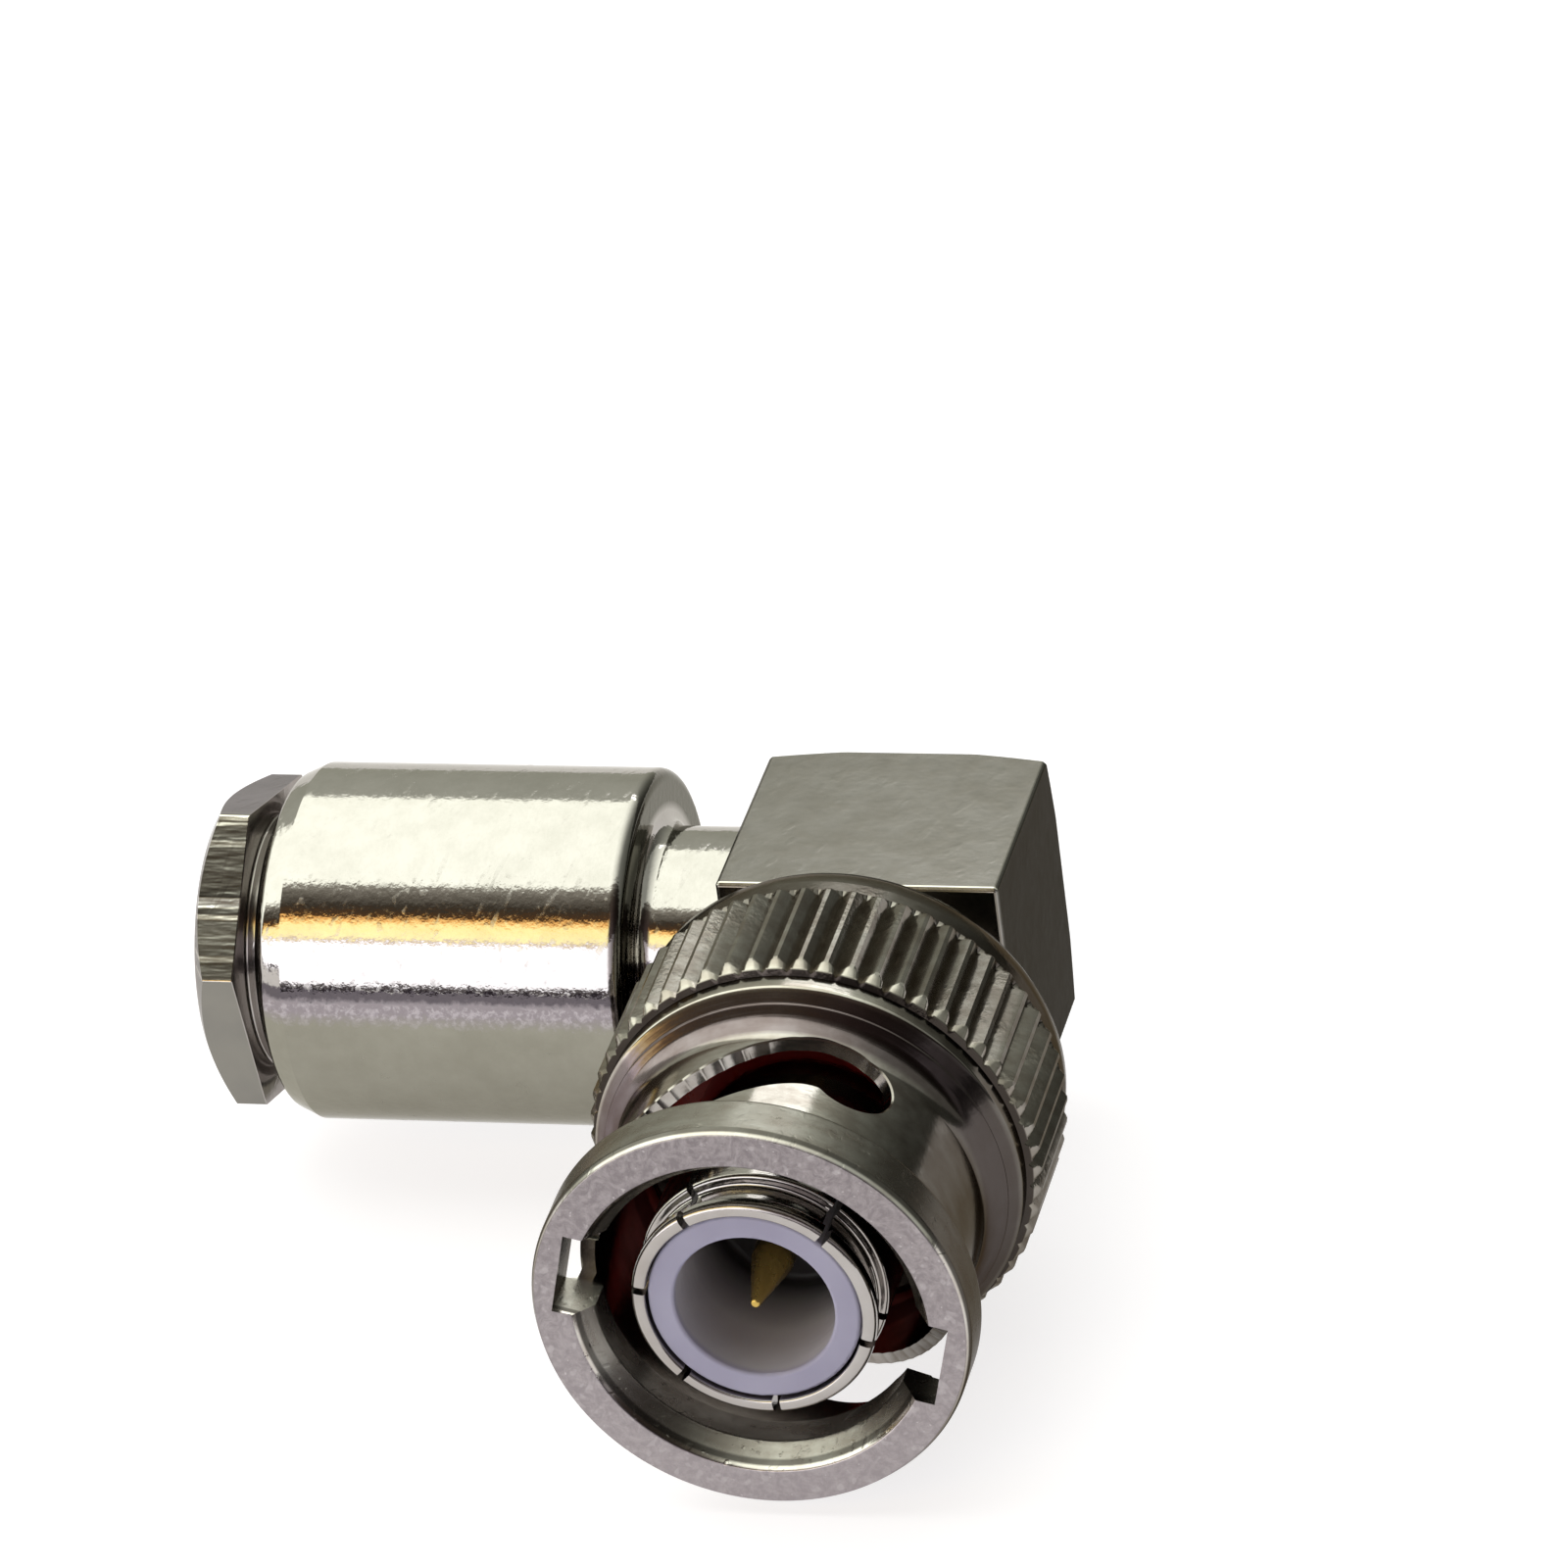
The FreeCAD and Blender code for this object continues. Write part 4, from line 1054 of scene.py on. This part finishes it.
# Places on the square body, over which one side's colour gives way to the next: painted shade on the right
# side, a painted dark reflection on the front face and a painted highlight on the top front bevel
BODY_RIGHT = (4.68, 4.73)
BODY_FRONT_FACE = (-3.42, -3.4)
BODY_FRONT_BEVEL = (-3.29, -3.27)
BODY_TOP_BEVEL = (9.41, 9.43)


def milled_nickel(name, roughness):
    """Nickel plate over milled sides, with a soft mottled satin grain, a right side darkened by painted
    shade, a front face darkened by a painted reflection and a painted highlight along the top front edge.
    """
    paint = Paint(name, DULL_NICKEL, 1.0, roughness, (0.3, 0.295, 0.29))
    grain = paint.noise(2300, 4.0, 0.6)
    cloud = paint.noise(620, 3.0)
    shade = paint.plus(paint.times(cloud, 0.6), paint.times(grain, 0.4))
    side, depth, z = paint.axes()
    plain = paint.blend(shade, 0.38, 0.62, DULL_NICKEL, DULL_STAIN)
    # Painted shade on the right side
    plain = paint.mix(paint.rise(side, *BODY_RIGHT, most=0.8), plain, (0.04, 0.038, 0.03))
    front = paint.times(paint.fall(depth, *BODY_FRONT_FACE), paint.fall(z, *BODY_TOP_BEVEL))
    # Painted reflection: the front face darker
    plain = paint.mix(paint.times(front, 0.6), plain, (0.12, 0.1, 0.072))
    edge = paint.times(paint.fall(depth, *BODY_FRONT_BEVEL), paint.rise(z, *BODY_TOP_BEVEL))
    # Painted highlight along the top front bevel
    paint.colour(paint.mix(edge, plain, (0.62, 0.6, 0.54)))
    paint.roughness(paint.spread(grain, 0.3, 0.7, roughness * 0.85, roughness * 1.2))
    paint.relief(grain, 0.003)
    paint.relief(cloud, 0.007)
    paint.relief(paint.scratches(1800, 45), 0.001)
    return paint.material


def gold_plate():
    """Gold on the centre contact, unevenly bright."""
    paint = Paint("gold plate", (0.62, 0.45, 0.17), 1.0, 0.22)
    cloud = paint.noise(1200, 3.0)
    paint.colour(paint.mix(cloud, (0.62, 0.44, 0.12), (0.36, 0.24, 0.06)))
    paint.roughness(paint.spread(cloud, 0.3, 0.7, 0.2, 0.34))
    paint.relief(paint.noise(5000), 0.002)
    return paint.material


def white_insulator():
    """Fluoropolymer: a soft lavender white, faintly see-through, with painted shade that darkens it down
    its bore.
    """
    paint = Paint("white insulator", (0.4, 0.385, 0.47), 0.0, 0.4)
    paint.fill(
        paint.shader, Subsurface_Weight=0.3, Specular_IOR_Level=0.2,
        Subsurface_Radius=(0.6, 0.55, 0.6), Subsurface_Scale=0.0006,
    )
    height = paint.round_axis("Y")[1]
    # Painted shade: the tone falls to near black down the bore
    tone = paint.ramp(paint.rise(height, -20.6, -15.2), (
        (0.0, (0.3, 0.293, 0.39)), (0.03, (0.33, 0.32, 0.41)), (0.07, (0.42, 0.405, 0.45)),
        (0.45, (0.4, 0.385, 0.41)), (0.75, (0.2, 0.19, 0.19)), (0.92, (0.035, 0.032, 0.03)),
    ))
    cloud = paint.noise(300, 3.0)
    rings = paint.rings("Y", 0.003, 5000, 2.0)
    paint.colour(paint.blend(cloud, 0.35, 0.65, tone, paint.multiply(tone, (0.86, 0.85, 0.88))))
    paint.roughness(paint.spread(rings, 0.3, 0.7, 0.32, 0.5))
    paint.relief(rings, 0.003)
    return paint.material


def rubber(name, colour, roughness):
    """Moulded rubber or silicone with a fine grain."""
    paint = Paint(name, colour, 0.0, roughness)
    cloud = paint.noise(700, 4.0)
    paint.colour(paint.mix(cloud, colour, tuple(c * 0.6 for c in colour)))
    paint.roughness(paint.spread(cloud, 0.3, 0.7, roughness * 0.85, roughness * 1.15))
    paint.relief(paint.noise(4000), 0.004)
    return paint.material


def spring_steel():
    """Bare spring steel with rolled rings."""
    paint = Paint("spring steel", (0.36, 0.36, 0.37), 1.0, 0.3)
    rings = paint.rings("Y", 0.004, 8000, 2.0)
    paint.roughness(paint.spread(rings, 0.3, 0.7, 0.22, 0.4))
    paint.colour(paint.mix(paint.noise(500), (0.4, 0.4, 0.41), (0.3, 0.3, 0.3)))
    paint.relief(rings, 0.002)
    return paint.material


def dress(materials):
    """Gives each CAD node that stays in view its finish."""
    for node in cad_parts.values():
        slot = node.data.materials[0].name
        for i in range(len(node.material_slots)):
            node.material_slots[i].link = "OBJECT"
            node.material_slots[i].material = materials[slot.split(".")[0]]


# Stage


# Sizes and places of the stage are in metres
FLOOR_REACH = 6.0
FLOOR_DROP = 0.0001


def floor_material():
    """Pale, and lit a little from within, so that it shows as white."""
    paint = Paint("floor", (0.34, 0.333, 0.372), 0.0, 0.6)
    paint.fill(paint.shader, Emission_Color=(1.0, 0.985, 0.98, 1), Emission_Strength=0.76)
    paint.roughness(paint.spread(paint.noise(40), 0.3, 0.7, 0.55, 0.7))
    return paint.material


def floor():
    """A wide pale floor just under the plug."""
    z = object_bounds()[0][2] - FLOOR_DROP
    corners = [(x * FLOOR_REACH, y * FLOOR_REACH, z) for x, y in ((-1, -1), (1, -1), (1, 1), (-1, 1))]
    piece = piece_from("floor", corners, [], [(0, 1, 2, 3)])
    piece.data.materials.append(floor_material())
    piece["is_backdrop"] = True


LIGHT_STRENGTH = 3.0
# From this far left of the middle on, the bands climb to the right, by this share of half a turn
SLANT_START = 0.25
SLANT = 0.06
# Degrees above the front horizon, over the top to the back, and the colour there
OVERHEAD_BANDS = (
    (68, (0.2, 0.19, 0.16)), (70, (0.86, 0.89, 0.79)), (138, (0.84, 0.87, 0.77)),
    (140, (0.255, 0.262, 0.225)), (180, (0.22, 0.226, 0.195)),
)
LEFT_BANDS = (
    (0, (0.12, 0.11, 0.115)), (1, (0.06, 0.055, 0.058)), (3.5, (0.07, 0.06, 0.062)),
    (5, (1.0, 1.0, 1.05)), (31, (1.0, 1.0, 1.05)), (32.5, (0.5, 0.4, 0.33)), (35, (0.95, 0.85, 0.45)),
    (43, (0.95, 0.8, 0.34)), (46, (0.8, 0.42, 0.12)), (48.5, (0.06, 0.03, 0.012)),
    (55, (0.03, 0.025, 0.018)), (62, (0.1, 0.092, 0.075)), *OVERHEAD_BANDS,
)
RIGHT_BANDS = (
    (0, (0.16, 0.14, 0.145)), (1, (0.06, 0.055, 0.058)), (9.5, (0.07, 0.06, 0.062)),
    (11, (0.5, 0.46, 0.48)), (31, (0.5, 0.46, 0.48)), (33, (0.09, 0.07, 0.065)),
    (48, (0.05, 0.035, 0.03)), (60, (0.06, 0.05, 0.04)), *OVERHEAD_BANDS,
)


def studio_light():
    """Long soft boxes along X. Their light follows the angle above the front horizon. They are
    brighter on the left, and the warm box is there alone."""
    world = bpy.data.worlds.new("studio")
    bpy.context.scene.world = world
    world.use_nodes = True
    sky = NodeMaker(world.node_tree)
    direction = sky.node("ShaderNodeTexCoord").outputs["Generated"]
    x, y, z = sky.node("ShaderNodeSeparateXYZ", Vector=direction).outputs
    angle = sky.over(sky.math("ARCTAN2", z, sky.times(y, -1.0)), math.pi)
    slanted = sky.minus(angle, sky.times(sky.math("MAXIMUM", sky.plus(x, SLANT_START), 0.0), SLANT))
    left, right = (sky.ramp(slanted, bands, 0, 180) for bands in (LEFT_BANDS, RIGHT_BANDS))
    background = sky.tree.nodes["Background"]
    sky.feed(background.inputs["Color"], sky.mix(sky.spread(x, -0.2, 0.05), left, right))
    sky.feed(background.inputs["Strength"], sky.times(sky.spread(x, -0.3, 0.6, 1.0, 0.2), LIGHT_STRENGTH))


def aimed(name, data, place, target, up, roll):
    """Puts a lamp or camera in its place, turned towards its target and rolled by some degrees."""
    piece = link(name, data)
    place = Vector(place)
    turn = (Vector(target) - place).to_track_quat("-Z", up).to_matrix().to_4x4()
    piece.matrix_world = Matrix.Translation(place) @ turn @ Matrix.Rotation(math.radians(roll), 4, "Z")
    return piece


LAMP_PLACE = (-0.015, 0.18, 0.1535)
LAMP_TARGET = (0.001, -0.0187, 0.0107)
LAMP_ROLL = -6.0
LAMP_SIZE = (0.095, 0.014)
LAMP_POWER = 0.0135


def neck_lamp():
    """A small lamp behind the plug. The polished neck of the nut mirrors it above the flange."""
    lamp = bpy.data.lights.new("neck lamp", "AREA")
    lamp.shape = "RECTANGLE"
    lamp.size, lamp.size_y = LAMP_SIZE
    lamp.energy = LAMP_POWER
    aimed("neck lamp", lamp, LAMP_PLACE, LAMP_TARGET, "Z", LAMP_ROLL)


CAMERA_PLACE = (0.071967, -0.244897, 0.163406)
CAMERA_TARGET = (-0.00362, 0.002107, 0.009924)
CAMERA_ROLL = -7.875
# In millimetres, as on a lens
FOCAL_LENGTH = 208.46


def camera():
    """Stands where the photograph was taken from, at its slight roll."""
    lens = bpy.data.cameras.new("camera")
    lens.lens = FOCAL_LENGTH
    lens.sensor_width = 36
    lens.clip_start = 0.01
    bpy.context.scene.camera = aimed("camera", lens, CAMERA_PLACE, CAMERA_TARGET, "Y", CAMERA_ROLL)


def build():
    """Dresses the CAD nodes and makes the pieces that replace some of them."""
    materials = {
        "body_nickel": milled_nickel("body nickel", 0.2),
        "contact_nickel": turned_nickel("contact nickel", "Y", 0.12, 0.0025),
        "nut_nickel": coupling_nut_nickel(),
        "barrel_nickel": polished_nickel("barrel nickel"),
        "clamp_nickel": hexagon_nickel(),
        "cap_nickel": milled_nickel("cap nickel", 0.22),
        "washer_brass": turned_nickel("washer nickel", "X", 0.25, 0.002),
        "spring_steel": spring_steel(),
        "gold_plate": gold_plate(),
        "white_insulator": white_insulator(),
        "red_silicone": rubber("red silicone", (0.6, 0.02, 0.014), 0.3),
        "black_rubber": rubber("black rubber", (0.02, 0.02, 0.02), 0.5),
    }
    dress(materials)
    coupling_nut(materials["nut_nickel"])
    outer_contact(materials["contact_nickel"])
    clamp_barrel(materials["barrel_nickel"])
    clamp_nut(materials["clamp_nickel"])
    softened("body_block", "plug_body", "body_nickel", 0.075, 1, materials["body_nickel"], crease=7)
    wave_washer("wave_washer_front", materials["spring_steel"])
    wave_washer("wave_washer_rear", materials["spring_steel"])
    softened("access_cap", "access_cap", "cap_nickel", 0.05, 2, materials["cap_nickel"], crease=20)


build()
floor()
studio_light()
neck_lamp()
camera()
bpy.context.scene.view_settings.view_transform = "Standard"
